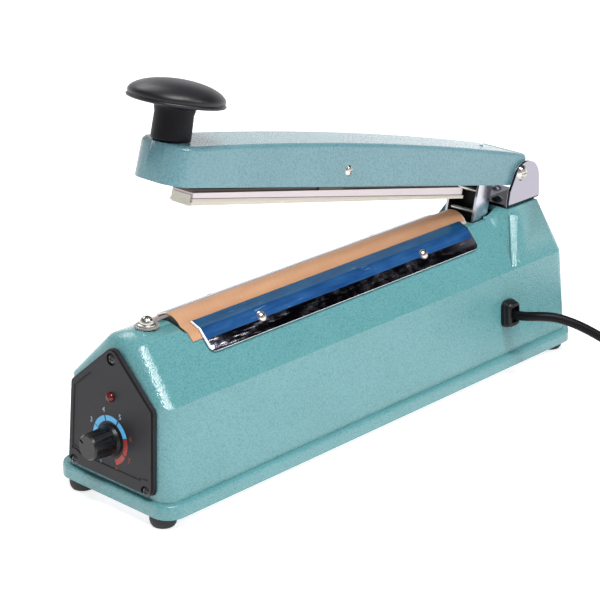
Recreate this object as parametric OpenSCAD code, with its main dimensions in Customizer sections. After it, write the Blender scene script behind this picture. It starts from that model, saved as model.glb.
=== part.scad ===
// Hand-operated impulse heat sealer: cast base with a seal bed, a spring-opened
// sealing arm with a tilting press bar, a timer with its knob, and a mains lead.
// Frame: +Z up, X along the length with the control panel at -X and the hinge at +X,
// origin on the floor under the middle of the whole, knob included. The arm is drawn shut in its own
// frame and then swung open about the hinge pin, which is how it rests.

/* [Base casting] */
// Length of the seal bed between the ends of the cover plates
seal_l = 203; // [160:1:260]
// Deck in front of the cover plates, from the rim's front edge
front_deck = 47.5; // [44:0.5:60]
// Deck behind the cover plates, to the rim's rear edge
rear_deck = 69.5; // [66:0.5:80]
// Width of the rim at the bottom
base_w = 82; // [78:1:92]
// Height of the rim band
rim_h = 7; // [5:0.5:10]
// Plan radius of the rim's corners
rim_r = 10; // [8:1:14]
// Ledge between the rim's edge and the wall at both ends
ledge_end = 2.7; // [2:0.1:4]
// Ledge between the rim's edge and the wall along both sides
ledge_side = 3; // [2:0.5:5]
// Thickness of the casting's walls
wall = 3; // [2.5:0.25:4]
// How far each wall leans in between its foot and the shoulder line
wall_lean = 3; // [1:0.5:5]
// Height of the shoulder line above the floor
shoulder_z = 61; // [56:1:66]
// Height of the ridge's edges above the floor
ridge_z = 85; // [82:0.5:88]
// Width of the ridge between its edges
ridge_w = 25; // [24:0.5:28]
// Rise of the rounded crest above the ridge's edges
crest_h = 3; // [2:0.5:4]
// Radius of the roof's front edge
front_r = 10; // [6:0.5:12]

/* [Hinge tower] */
// Rise of the tower's top above the ridge's edges
tower_rise = 4; // [3:0.5:6]
// Length of the tower's top
tower_top_l = 33; // [31:0.5:36]
// Width of the tower's top
tower_w = 39; // [38.6:0.2:42]
// Length of the opening that the lever drops through
slot_l = 21; // [20:0.5:23]

/* [Arm] */
// Angle between the open arm and the shut arm's level
arm_open = 13; // [11:0.5:15]
// Height of the hinge pin above the tower's top
pivot_rise = 18.8; // [18:0.2:20]
// Outside width of the arm
arm_w = 34; // [33:0.5:34]
// Height of the arm's sides at its middle
arm_h = 22; // [20:0.5:25]
// How much lower the arm's top is at its front end than at its middle
arm_crown = 3.4; // [2:0.2:5]
// Thickness of the arm's shell
arm_wall = 2.2; // [1.8:0.1:2.6]
// Gap between the shut arm's lower edge and the ridge's edges
arm_gap = 15.3; // [14.5:0.1:17]
// Diameter of the hinge pin
pin_d = 6; // [5:0.5:6.5]
// Radial running clearance of pins and shafts
run_gap = 0.05; // [0.02:0.01:0.08]
// Diameter of the handle's cap
cap_d = 47.6; // [40:0.4:54]
// Height of the handle above the arm
handle_h = 28.4; // [26:0.2:34]
// Diameter of the handle's stem
stem_d = 19.4; // [17:0.2:20]

/* [Press bar] */
// Width of the aluminium press bar
bar_w = 14.5; // [12:0.5:16]
// Height of the aluminium press bar
bar_h = 4.6; // [4:0.2:6]
// How far the rubber stands below the bar
rubber_out = 2; // [1.5:0.1:3]
// How far the rubber runs past the front end of the bar
rubber_nose = 0.6; // [0.2:0.2:4]
// How much the bar hangs down towards the front of the arm
bar_hang = 0.4; // [0:0.1:0.8]

/* [Seal bed] */
// Radius of the sealing surface across the bed
bed_r = 10; // [9.5:0.1:11]
// Height of the cloth's top above the ridge's edges
bed_rise = 5.5; // [5:0.1:6]
// Thickness of the release cloth
cloth_t = 0.3; // [0.2:0.05:0.4]
// Width of the heating ribbon
ribbon_w = 3; // [2:0.5:5]
// Thickness of the cover plates
plate_t = 0.8; // [0.6:0.05:0.9]
// Height of a cover plate's lower leaf, down the flank
plate_leaf = 13; // [11:0.5:15]
// Width of a cover plate's upper leaf, over the bed
plate_lip = 6.3; // [5.2:0.1:6.3]

/* [Controls] */
// Thickness of the control panel
panel_t = 3; // [2.4:0.2:3.6]
// Diameter of the timer knob at its base
knob_d = 15; // [13:0.5:18]
// Length of the timer knob
knob_l = 14; // [11:0.5:17]
// Height of the knob's axis above the floor
dial_z = 37; // [34:0.5:40]
// Height of the indicator above the floor
led_z = 59; // [57:0.5:61]

/* [Feet and lead] */
// Height of the rubber feet
foot_h = 7; // [5:0.5:10]
// Diameter of the rubber feet
foot_d = 13.5; // [12:0.5:14]
// Diameter of the mains lead
lead_d = 5.2; // [4.8:0.2:6]
// Height of the lead's exit above the floor
exit_z = 38; // [34:1:42]

/* [Hidden] */
$fn = 48;
eps = 0.01;
gap = 0.3;
seat = 0.03;
base_l = front_deck + seal_l + rear_deck;
rim_z = foot_h + rim_h;
lean_slope = wall_lean / (shoulder_z - rim_z);
lean_a = atan(lean_slope);
function wall_in(z) = ledge_end + lean_slope * (z - rim_z);
// the origin is under the middle of the whole length, which the knob adds to
knob_reach = (panel_t + gap + knob_l) * cos(lean_a) + (knob_d / 2 - 1.8) * sin(lean_a) + seat
    - wall_in(dial_z);
front_edge = (knob_reach - base_l) / 2;
rear_edge = (knob_reach + base_l) / 2;
function front_x(z) = front_edge + wall_in(z);
function rear_x(z) = rear_edge - wall_in(z);
plate_x0 = front_edge + front_deck;
plate_x1 = plate_x0 + seal_l;
foot_half = base_w / 2 - ledge_side;
shoulder_half = foot_half - wall_lean;
ridge_half = ridge_w / 2;
flank_a = atan2(ridge_z - shoulder_z, shoulder_half - ridge_half);
function flank_y(z) = ridge_half + (ridge_z - z) / tan(flank_a);

// tower
tower_z = ridge_z + tower_rise;
tower_x1 = rear_edge - 14;
tower_x0 = tower_x1 - tower_top_l;
tower_foot_x = tower_x0 - 4;
cheek_half = 14.3;
slot_half = 11;
slot_x1 = tower_x0 + 7.5;
slot_x0 = slot_x1 - slot_l;
slot_floor = shoulder_z;

// bed, shut-arm heights and the hinge
deck_z = ridge_z - 0.8;
bed_top = ridge_z + bed_rise;
bed_axis_z = bed_top - bed_r;
bed_x0 = plate_x0 - 1.5;
bed_x1 = slot_x0 - 2;
cloth_x0 = plate_x0 - 6.5;
cloth_x1 = plate_x1 + 5.5;
deck_x0 = cloth_x0 - 2;
pivot_x = slot_x1 + 11;
pivot_z = tower_z + pivot_rise;
arm_z = ridge_z + arm_gap;
arm_x0 = front_edge + 25.5;
arm_x1 = pivot_x + 7.5;
arm_half = arm_w / 2;
bar_pivot_x = (plate_x0 + plate_x1) / 2 - 1.7;
bar_pivot_z = arm_z + 8.3;
bar_lift = (pivot_x - bar_pivot_x) * sin(bar_hang);
rubber_z = bed_top + gap - bar_lift;
bar_z = rubber_z + rubber_out;
bar_top = bar_z + bar_h;
bar_x0 = plate_x0 + 1.5;
bar_x1 = plate_x1 + 5;
handle_x = arm_x0 + 10.5;
handle_seat = 0.6;

// hinge bracket
sheet = 1.8;
ear_half = tower_w / 2;
bracket_x0 = slot_x1 + 0.3;
bracket_x1 = bracket_x0 + 27.3;
ear_r = 11.2;
ear_x = bracket_x1 - ear_r - 0.6;
ear_z = pivot_z - 5.6;

// lever
lever_half = slot_half - 0.8;
lever_t = 1.6;
lever_x1 = slot_x1 - 1.9;
lever_x0 = lever_x1 - 11.6;
lever_z0 = 46;
hook_x = lever_x1 - 6.6;
hook_z = lever_z0 + 6;
pad_z = arm_z + 15.9;

// terminals and fasteners
terminal_x = front_edge + 27.2;
terminal_x2 = slot_x0 - 5;
boss_z = ridge_z - 8;
ribbon_z = bed_top - 0.6;
post_r = 1.6;
screw_r = 1.5;
dome_r = 2.7;
plate_stand = 0.8;
lip_a = 20;
plate_screw_x = [plate_x0 + 39, plate_x1 - 41];
bracket_screw_at = [for (x = [bracket_x0 + 6, bracket_x0 + 21.5], y = [-6.5, 6.5]) [x, y]];
foot_x = [front_edge + 8, rear_edge - 8];
foot_y = base_w / 2 - 12;
panel_screw_z = [18.5, 18.5, 78];
panel_screw_y = [-25.6, 25.6, 0];

// inside
floor_t = 1.5;
floor_z = foot_h + floor_t;
anchor_x = bed_x1 - 38;
core = [52, 40, 44];
core_x = front_edge + 132;
switch_travel = 1.2;
switch_x = lever_x1 + gap + 0.5;
switch_z = 74;

// lead: hand-placed route, in mm, from the bush to the coil
exit_x = 107.4;
wall_exit_y = -(foot_half - lean_slope * (exit_z - rim_z));
lead_route = [
    [107.4, -30, 37.6], [107.4, -38, 38.1], [107.4, -45, 38.5], [108.4, -50.4, 39.2],
    [111, -56, 40], [115.8, -63, 39.8], [120.8, -70, 37.6], [125.8, -77, 34], [130.8, -84, 29.4],
    [136.6, -92, 23.4], [142.6, -100, 17.2], [148.5, -108, 11.4], [154, -115.3, 7.2]
];
coil_mid_r = 29;
coil_rows = 4;
coil_layers = 2;
coil_c = [196, -110, 0];
plug_at = [coil_c[0] + coil_mid_r + 4.7, coil_c[1] + 53.8, 0.05];

// ---- frames and shared shapes ----

// from the shut arm's frame to the open rest pose
module arm_frame() {
    translate([pivot_x, 0, pivot_z]) rotate([0, arm_open, 0]) translate([-pivot_x, 0, -pivot_z])
        children();
}

// the press bar hangs a little down towards the front
module bar_frame() {
    arm_frame()
        translate([bar_pivot_x, 0, bar_pivot_z]) rotate([0, -bar_hang, 0])
            translate([-bar_pivot_x, 0, -bar_pivot_z])
                children();
}

// local X across to the right, Y up the face, Z out of the front wall
module on_front(y, z) {
    translate([front_x(z) - seat, y, z]) rotate([0, lean_a, 0]) rotate([90, 0, -90]) children();
}

// local X along, Y up the near flank, Z out of it, from the ridge's near edge
module on_near_flank() {
    translate([0, -ridge_half, ridge_z]) rotate([flank_a, 0, 0]) children();
}

module tube(outer, inner, h) {
    difference() {
        cylinder(r = outer, h = h);
        translate([0, 0, -1]) cylinder(r = inner, h = h + 2);
    }
}

// a bar along Y, centred
module y_rod(r, l) {
    rotate([90, 0, 0]) cylinder(r = r, h = l, center = true);
}

// rounded rectangle between two corners
module round_rect(x0, x1, y0, y1, r) {
    union() {
        translate([x0 + r, y0]) square([x1 - x0 - 2 * r, y1 - y0]);
        translate([x0, y0 + r]) square([x1 - x0, y1 - y0 - 2 * r]);
        for (x = [x0 + r, x1 - r], y = [y0 + r, y1 - r]) translate([x, y]) circle(r);
    }
}

// slotted dome-head screw standing on z = 0, shank below
module dome_screw(head_r, head_h, shank_r, shank_l) {
    difference() {
        union() {
            intersection() {
                translate([0, 0, head_h - (head_r * head_r + head_h * head_h) / (2 * head_h)])
                    sphere(r = (head_r * head_r + head_h * head_h) / (2 * head_h));
                cylinder(r = head_r, h = head_h + 1);
            }
            translate([0, 0, -shank_l]) cylinder(r = shank_r, h = shank_l + eps);
        }
        for (a = [0, 90])
            rotate([0, 0, a]) translate([-head_r * 0.55, -0.3, head_h - 0.7])
                cube([head_r * 1.1, 0.6, 2]);
    }
}

// points of a corner at p rounded to radius r, between its neighbours
function unit(v) = v / norm(v);
function corner_points(a, p, b, r, n = 5) =
    let (
        u = unit(a - p),
        v = unit(b - p),
        half = acos(u * v) / 2,
        c = p + unit(u + v) * r / sin(half),
        s = p + u * r / tan(half),
        e = p + v * r / tan(half),
        a0 = atan2(s[1] - c[1], s[0] - c[0]),
        d = atan2(e[1] - c[1], e[0] - c[0]) - a0,
        turn = d > 180 ? d - 360 : (d < -180 ? d + 360 : d)
    )
    [for (i = [0:n]) c + r * [cos(a0 + turn * i / n), sin(a0 + turn * i / n)]];
function rounded(points, radii) =
    let (m = len(points))
    [for (i = [0:m - 1], q = corner_points(points[(i + m - 1) % m], points[i],
        points[(i + 1) % m], radii[i])) q];

// ---- base ----

// posts at the four plan corners of the casting at one level, for the lofts below
module corner_posts(x0, x1, half, r, z) {
    for (x = [x0 + r, x1 - r], y = [-half + r, half - r])
        translate([x, y, z]) cylinder(r = r, h = eps, $fn = 32);
}

// house-shaped form of the casting; inset is the distance in from its outside
module casting_form(inset) {
    r = 8 - inset;
    top_half = ridge_half - inset * 0.43;
    drop = inset * 0.4;
    // the crest is solid metal above the level of the ridge
    crest = inset > 0 ? 0 : crest_h;
    ridge_x0 = front_x(ridge_z + crest);
    // drafted walls from the rim's foot to the shoulder line
    hull() {
        corner_posts(front_x(foot_h) + inset, rear_x(foot_h) - inset,
            foot_half + lean_slope * rim_h - inset, r, foot_h);
        corner_posts(front_x(shoulder_z) + inset, rear_x(shoulder_z) - inset,
            shoulder_half - inset, r, shoulder_z - drop);
    }
    // flanks up to the ridge with its rounded crest
    hull() {
        corner_posts(front_x(shoulder_z) + inset, tower_x1 - 8, shoulder_half - inset, r,
            shoulder_z - drop - eps);
        for (t = [0:15:90]) let (
            in = front_r * (1 - sin(t)),
            x = ridge_x0 + inset + front_r * (1 - cos(t)),
            half = top_half - in * 0.43,
            top = ridge_z - inset - in
        ) translate([x, 0, 0]) rotate([90, 0, 90]) linear_extrude(tower_x0 - 20 - x)
            polygon(concat([[half, top - 1], [-half, top - 1]],
                [for (i = [0:12])
                    let (y = half * (i / 6 - 1))
                    [y, top + crest * (1 - pow(y / half, 2))]]));
        corner_posts(tower_x0 - 20, tower_x0 + 9, top_half, 2, ridge_z - inset - eps);
    }
    // tower under the hinge
    hull() {
        corner_posts(tower_foot_x + inset, rear_x(shoulder_z) - inset, shoulder_half - inset, r,
            shoulder_z - drop - eps);
        translate([0, 0, tower_z - inset - eps]) linear_extrude(eps)
            polygon([
                [tower_x0 + inset, -cheek_half + drop], [tower_x0 + 9, -ear_half - 0.2 + drop],
                [tower_x1 - inset, -ear_half - 0.2 + drop], [tower_x1 - inset, ear_half + 0.2 - drop],
                [tower_x0 + 9, ear_half + 0.2 - drop], [tower_x0 + inset, cheek_half - drop]
            ]);
    }
}

module base_housing() color([0.45, 0.68, 0.70]) difference() {
    union() {
        casting_form(0);
        // rim band with a rounded upper edge
        translate([0, 0, foot_h]) linear_extrude(rim_h - 1.5)
            round_rect(front_edge, rear_edge, -base_w / 2, base_w / 2, rim_r);
        translate([0, 0, rim_z - 1.5 - eps]) linear_extrude(1 + eps)
            round_rect(front_edge + 0.4, rear_edge - 0.4, -base_w / 2 + 0.4, base_w / 2 - 0.4,
                rim_r - 0.4);
        translate([0, 0, rim_z - 0.5 - eps]) linear_extrude(0.5 + eps)
            round_rect(front_edge + 1.3, rear_edge - 1.3, -base_w / 2 + 1.3, base_w / 2 - 1.3,
                rim_r - 1.3);
    }
    difference() {
        casting_form(wall);
        // corner bosses take the foot screws
        for (x = foot_x, y = [-foot_y, foot_y])
            translate([x, y, floor_z]) cylinder(r = 6, h = 16);
        // boss under the crest takes the front terminal
        translate([terminal_x, 0, boss_z]) cylinder(r = 6.5, h = 12);
    }
    // open underside with a rebate for the bottom plate
    translate([0, 0, foot_h - 1]) linear_extrude(floor_t + 1 + eps)
        round_rect(front_edge + 4, rear_edge - 4, -base_w / 2 + 4, base_w / 2 - 4, rim_r - 4);
    // level deck along the bed
    translate([deck_x0, -ridge_half - 5, deck_z]) cube([slot_x0 - deck_x0 + 1, ridge_w + 10, 10]);
    // opening for the lever, from the end of the bed into the tower
    translate([slot_x0, -slot_half, slot_floor]) cube([slot_l, 2 * slot_half, 60]);
    // crest taken off beside the opening
    translate([slot_x0 - eps, -ridge_half - 5, deck_z])
        cube([tower_foot_x - slot_x0, ridge_w + 10, 3.9]);
    base_holes();
}

module base_holes() {
    for (x = foot_x, y = [-foot_y, foot_y])
        translate([x, y, foot_h - 1]) cylinder(r = screw_r, h = 14);
    translate([terminal_x, 0, boss_z - 1]) cylinder(r = post_r + 1.2, h = 20);
    for (i = [0:2]) on_front(panel_screw_y[i], panel_screw_z[i])
        translate([0, 0, -8]) cylinder(r = screw_r, h = 10);
    on_front(0, dial_z) translate([0, 0, -wall - 3]) cylinder(r = 6.5, h = wall + 6);
    on_front(0, led_z) translate([0, 0, -wall - 3]) cylinder(r = 3.4, h = wall + 6);
    for (side = [0, 1], x = plate_screw_x)
        mirror([0, side, 0]) on_near_flank() translate([x, -6.6, -wall - 3])
            cylinder(r = screw_r, h = wall + 6);
    for (p = bracket_screw_at)
        translate([p[0], p[1], tower_z - wall - 3]) cylinder(r = 2, h = wall + 6);
    translate([exit_x, wall_exit_y, exit_z]) rotate([90 - lean_a, 0, 0])
        cylinder(r = lead_d / 2 + 2.9, h = 20, center = true);
    translate([bed_x0 + 6, 0, deck_z - wall - 2]) cylinder(r = screw_r, h = wall + 4);
    translate([terminal_x2, 0, deck_z - wall - 2]) cylinder(r = post_r + 1.2, h = wall + 4);
}

module bottom_plate() color([0.35, 0.36, 0.38]) difference() {
    translate([0, 0, foot_h]) linear_extrude(floor_t)
        round_rect(front_edge + 4.2, rear_edge - 4.2, -base_w / 2 + 4.2, base_w / 2 - 4.2,
            rim_r - 4.2);
    for (x = foot_x, y = [-foot_y, foot_y])
        translate([x, y, foot_h - 1]) cylinder(r = screw_r + run_gap, h = floor_t + 2);
    for (x = [core_x - core[0] / 2 - 5, core_x + core[0] / 2 + 5])
        translate([x, 0, foot_h - 1]) cylinder(r = screw_r + run_gap, h = floor_t + 2);
    // vent slots under the transformer
    for (x = [core_x - 18:9:core_x + 18])
        translate([x - 1.5, -12, foot_h - 1]) cube([3, 24, floor_t + 2]);
}

module bottom_screws() color([0.62, 0.63, 0.65])
    for (x = [core_x - core[0] / 2 - 5, core_x + core[0] / 2 + 5])
        translate([x, 0, foot_h]) mirror([0, 0, 1]) dome_screw(dome_r, 1.6, screw_r, 8);

module rubber_feet() color([0.10, 0.10, 0.11])
    for (x = foot_x, y = [-foot_y, foot_y]) translate([x, y, 0]) difference() {
        rotate_extrude() polygon([
            [0, 0], [foot_d / 2 - 2.2, 0], [foot_d / 2 - 1.1, 0.5], [foot_d / 2 - 0.4, 1.6],
            [foot_d / 2, 3.4], [foot_d / 2, foot_h], [0, foot_h]
        ]);
        translate([0, 0, -1]) cylinder(r = 3.2, h = 4);
        translate([0, 0, -1]) cylinder(r = screw_r + run_gap, h = foot_h + 2);
    }

module foot_screws() color([0.62, 0.63, 0.65])
    for (x = foot_x, y = [-foot_y, foot_y])
        translate([x, y, 3]) mirror([0, 0, 1]) dome_screw(dome_r, 1.6, screw_r, foot_h + 9);

// ---- control panel ----

// outline of the panel in its own plane, from the dial's axis; grow moves the edge out
function panel_outline(grow) =
    let (
        low = rim_z - dial_z + 2.7 - grow,
        shoulder = shoulder_z - dial_z - 1.5 + grow * 0.6,
        half_low = foot_half - 7.6 + grow,
        half_high = shoulder_half - 5.9 + grow,
        peak = ridge_z - dial_z - 0.2 + grow * 1.3
    )
    [[-half_low, low], [half_low, low], [half_high, shoulder], [0, peak], [-half_high, shoulder]];

module panel_shape(grow)
    polygon(rounded(panel_outline(grow), [3.5 + grow, 3.5 + grow, 3 + grow, 5 + grow, 3 + grow]));

module control_panel() color([0.24, 0.24, 0.26]) difference() {
    on_front(0, dial_z) {
        linear_extrude(panel_t - 0.8) panel_shape(0);
        linear_extrude(panel_t) panel_shape(-0.9);
    }
    // sunk label field inside a raised frame
    on_front(0, dial_z) translate([0, 0, panel_t - 0.4]) linear_extrude(2) difference() {
        intersection() {
            panel_shape(-3.2);
            translate([-40, rim_z - dial_z + 9]) square([80, 45]);
        }
        for (side = [-1, 1]) translate([side * 25.6, 18.5 - dial_z]) circle(6.2);
    }
    for (i = [0:2]) on_front(panel_screw_y[i], panel_screw_z[i]) {
        translate([0, 0, -1]) cylinder(r = screw_r + run_gap, h = panel_t + 2);
        translate([0, 0, panel_t - 1.2]) cylinder(r = 3.1, h = 2);
    }
    on_front(0, dial_z) translate([0, 0, -1]) cylinder(r = 3.6, h = panel_t + 2);
    on_front(0, led_z) translate([0, 0, -1]) cylinder(r = 2.5 + run_gap, h = panel_t + 2);
}

module panel_screws() color([0.12, 0.12, 0.13])
    for (i = [0:2]) on_front(panel_screw_y[i], panel_screw_z[i])
        translate([0, 0, panel_t - 1.2]) dome_screw(2.8, 1.5, screw_r, panel_t - 1.2 + 7);

module indicator_lamp() color([0.65, 0.05, 0.05]) on_front(0, led_z) {
    rotate_extrude() intersection() {
        union() {
            translate([0, panel_t - 0.4]) circle(r = 2.5);
            translate([0, -6]) square([2.5, panel_t + 5.6]);
            translate([0, -7]) square([3, 1]);
        }
        translate([0, -8]) square([4, 20]);
    }
}

module timer_knob() color([0.11, 0.11, 0.12]) on_front(0, dial_z) {
    difference() {
        union() {
            translate([0, 0, panel_t + gap]) cylinder(r1 = knob_d / 2 + 0.6, r2 = knob_d / 2, h = 1.6);
            translate([0, 0, panel_t + gap + 1.6])
                cylinder(r1 = knob_d / 2 - 0.3, r2 = knob_d / 2 - 1.1, h = knob_l - 2.6);
            translate([0, 0, panel_t + gap + knob_l - 1])
                cylinder(r1 = knob_d / 2 - 1.1, r2 = knob_d / 2 - 1.8, h = 1);
        }
        // grip flutes
        for (i = [0:8]) rotate([0, 0, i * 40 + 33])
            translate([knob_d / 2 + 0.3, 0, panel_t + gap + 2.6]) cylinder(r = 1.5, h = knob_l);
        // pointer notch
        rotate([0, 0, 153]) translate([knob_d / 2 - 4.2, -0.5, panel_t + gap + knob_l - 1.4])
            cube([6, 1, 3]);
        // blind bore on the shaft
        translate([0, 0, panel_t - 1]) cylinder(r = 3 - run_gap, h = knob_l - 3);
    }
    // shaft of the potentiometer turns with the knob
    translate([0, 0, -7]) cylinder(r = 3 - run_gap, h = panel_t + knob_l + 2);
}

module timer_potentiometer() color([0.55, 0.56, 0.58]) on_front(0, dial_z) difference() {
    union() {
        translate([0, 0, -wall - 11]) cylinder(r = 8.2, h = 8);
        translate([0, 0, -wall - 3 - eps]) cylinder(r = 5.2, h = wall + 3);
        translate([0, 0, -3]) cylinder(r = 5.2, h = 3 - gap);
        translate([-7, -13, -wall - 10]) cube([14, 6, 2]);
    }
    translate([0, 0, -7 - eps]) cylinder(r = 3, h = 20);
}

module timer_board() color([0.16, 0.38, 0.22]) {
    // board behind the front wall, on the potentiometer's terminals
    on_front(0, dial_z) translate([0, 0, -wall - 13.1]) {
        translate([-26, -20, 0]) cube([52, 36, 1.6]);
        translate([-20, -17, -15]) cube([18, 14, 15 + eps]);
        translate([12, -9, -16]) cylinder(r = 5, h = 16 + eps);
        translate([10, 7, -10]) cylinder(r = 3.5, h = 10 + eps);
    }
}

// ---- power parts ----

module transformer_core() color([0.42, 0.43, 0.45]) {
    translate([core_x - core[0] / 2, -core[1] / 2, floor_z]) difference() {
        cube(core);
        for (x = [core[0] * 0.17, core[0] * 0.67])
            translate([x, -1, core[2] * 0.18]) cube([core[0] * 0.16, core[1] + 2, core[2] * 0.64]);
    }
    // mounting frame feet on the bottom plate
    for (s = [-1, 1]) translate([core_x + s * (core[0] / 2 + 5) - 5.5, -9, floor_z]) difference() {
        cube([11, 18, 1.5]);
        translate([5.5, 9, -1]) cylinder(r = screw_r + run_gap, h = 4);
    }
}

module transformer_coil() color([0.72, 0.45, 0.20]) translate([core_x, 0, floor_z + core[2] / 2])
    difference() {
        union() {
            cube([core[0] * 0.64, core[1] + 18, core[2] * 0.62], center = true);
        }
        cube([core[0] * 0.34 + 0.6, core[1] + 0.6, core[2]], center = true);
        for (s = [-1, 1]) translate([s * core[0] * 0.42, 0, 0])
            cube([core[0] * 0.18, core[1] + 0.6, core[2]], center = true);
    }

module microswitch() color([0.13, 0.13, 0.14]) difference() {
    union() {
        translate([switch_x, -5, switch_z - 8]) cube([10, 10, 18]);
        // steel bracket up to the tower's top
        translate([switch_x + 10, -6, switch_z - 8]) cube([1.5, 12, tower_z - wall - switch_z + 8]);
    }
    translate([switch_x - 1, 0, switch_z]) rotate([0, 90, 0]) cylinder(r = 1.5 + run_gap, h = 6.2);
}

module switch_plunger() color([0.75, 0.15, 0.12])
    translate([lever_x1 + gap - switch_travel, 0, switch_z]) rotate([0, 90, 0])
        cylinder(r = 1.5, h = 5.2);

// ---- seal bed ----

module bed_layer(r0, r1, x0, x1, half_a) {
    translate([x0, 0, bed_axis_z]) rotate([90, 0, 90]) linear_extrude(x1 - x0) difference() {
        circle(r1, $fn = 96);
        circle(r0, $fn = 96);
        // only the sector about the top stays
        polygon([[0, 0], [30 * sin(half_a), 30 * cos(half_a)], [40, 0], [40, -40], [-40, -40],
            [-40, 0], [-30 * sin(half_a), 30 * cos(half_a)]]);
    }
}

module seal_bed() color([0.70, 0.71, 0.73]) difference() {
    translate([bed_x0, 0, 0]) rotate([90, 0, 90]) linear_extrude(bed_x1 - bed_x0) intersection() {
        translate([0, bed_axis_z]) circle(bed_r - 0.8, $fn = 96);
        translate([-10, deck_z]) square([20, 20]);
    }
    for (x = [bed_x0 + 6])
        translate([x, 0, deck_z - 1]) cylinder(r = screw_r, h = 4);
    translate([terminal_x2, 0, deck_z - 1]) cylinder(r = post_r + 1.2, h = 10);
}

module bed_insulation() color([0.86, 0.78, 0.62]) difference() {
    bed_layer(bed_r - 0.8, bed_r - 0.6, bed_x0, bed_x1, 32);
    translate([terminal_x2, 0, deck_z]) cylinder(r = post_r + 1.2, h = 10);
}

module heating_ribbon() color([0.75, 0.76, 0.78]) {
    ribbon_a = asin(ribbon_w / 2 / bed_r);
    bed_layer(bed_r - 0.6, bed_r - 0.4, bed_x0 - 2, terminal_x2 + 3, ribbon_a);
    // level tail to a ring under the terminal's screw
    translate([terminal_x, 0, ribbon_z]) difference() {
        union() {
            translate([0, -ribbon_w / 2, 0]) cube([bed_x0 - 2 - terminal_x + 0.1, ribbon_w, 0.2]);
            cylinder(r = 3.4, h = 0.2);
        }
        translate([0, 0, -1]) cylinder(r = post_r + 0.1, h = 3);
    }
}

module terminal_washers() color([0.88, 0.88, 0.86]) {
    crest_z = ridge_z + crest_h;
    translate([terminal_x, 0, crest_z]) tube(6.2, post_r + 0.05, 1.2);
    translate([terminal_x, 0, crest_z + 1.2]) tube(4.8, post_r + 0.05, ribbon_z - crest_z - 1.2);
    translate([terminal_x, 0, boss_z - 1.2]) tube(4.8, post_r + 0.05, 1.2);
}

module terminal_screws() color([0.72, 0.73, 0.75]) {
    head_z = ribbon_z + 0.2;
    translate([terminal_x, 0, head_z]) dome_screw(3.4, 2, post_r, head_z - boss_z + 4.6);
    translate([terminal_x, 0, boss_z - 3.6]) difference() {
        cylinder(r = 3.2, h = 2.4, $fn = 6);
        translate([0, 0, -1]) cylinder(r = post_r - 0.02, h = 5);
    }
    // rear post carries the other end of the ribbon down through the bed
    translate([terminal_x2, 0, ribbon_z - 0.14 - 14]) cylinder(r = post_r, h = 14);
}

// point at a distance down the flank and out from it, in the plane across the bed
function on_flank(down, out) = [
    ridge_half + down * cos(flank_a) + out * sin(flank_a),
    ridge_z - down * sin(flank_a) + out * cos(flank_a)
];

// point at an angle from the top of the bed and a distance from its axis
function on_bed(a, r) = [r * sin(a), bed_axis_z + r * cos(a)];

// arch over the bed whose edges are tucked down over the flanks
module cloth_profile() {
    t = cloth_t;
    reach = 55;
    inner = bed_r - t;
    half = [on_flank(1, 0.2 + t), on_flank(6.2, 0.2 + t), on_flank(6.2, 0.2), on_flank(1.1, 0.2)];
    polygon(concat(
        [for (i = [-20:20]) on_bed(reach * i / 20, bed_r)], half,
        [for (i = [20:-1:-20]) on_bed((reach + 1) * i / 20, inner)],
        [for (i = [3:-1:0]) [-half[i][0], half[i][1]]]
    ));
}

module release_cloth() color([0.80, 0.60, 0.42]) difference() {
    translate([cloth_x0, 0, 0]) rotate([90, 0, 90]) linear_extrude(cloth_x1 - cloth_x0)
        cloth_profile();
    for (side = [0, 1], x = plate_screw_x) mirror([0, side, 0]) on_near_flank()
        translate([x, -6.6, -2]) cylinder(r = screw_r + 0.2, h = 5);
}

// one cover plate, on the near side: a sheet folded over the bed's edge
module cover_plate() {
    lip = [-cos(lip_a), sin(lip_a)];
    lip_out = [sin(lip_a), cos(lip_a)];
    fold = on_flank(1.4, plate_stand + plate_t);
    under = on_flank(1.4 + plate_t * tan((flank_a - lip_a) / 2), plate_stand);
    tip = fold + plate_lip * lip;
    difference() {
        intersection() {
            mirror([0, 1, 0]) translate([plate_x0, 0, 0]) rotate([90, 0, 90]) linear_extrude(seal_l)
                polygon([fold, on_flank(plate_leaf, plate_stand + plate_t),
                    on_flank(plate_leaf, plate_stand), under, tip - plate_t * lip_out, tip]);
            // lower corners are rounded
            on_near_flank() translate([0, 0, -10]) linear_extrude(30)
                round_rect(plate_x0, plate_x1, -plate_leaf, 20, 3.5);
        }
        for (x = plate_screw_x) on_near_flank() translate([x, -6.6, -2])
            cylinder(r = screw_r + run_gap, h = 6);
    }
}

module cover_plate_near() color([0.20, 0.36, 0.56]) cover_plate();

module cover_plate_far() color([0.20, 0.36, 0.56]) mirror([0, 1, 0]) cover_plate();

module cover_plate_screws() color([0.80, 0.80, 0.82])
    for (side = [0, 1], x = plate_screw_x) mirror([0, side, 0]) on_near_flank()
        translate([x, -6.6, plate_stand + plate_t]) dome_screw(dome_r, 1.7, screw_r, wall + 4);

// ---- hinge ----

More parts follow.
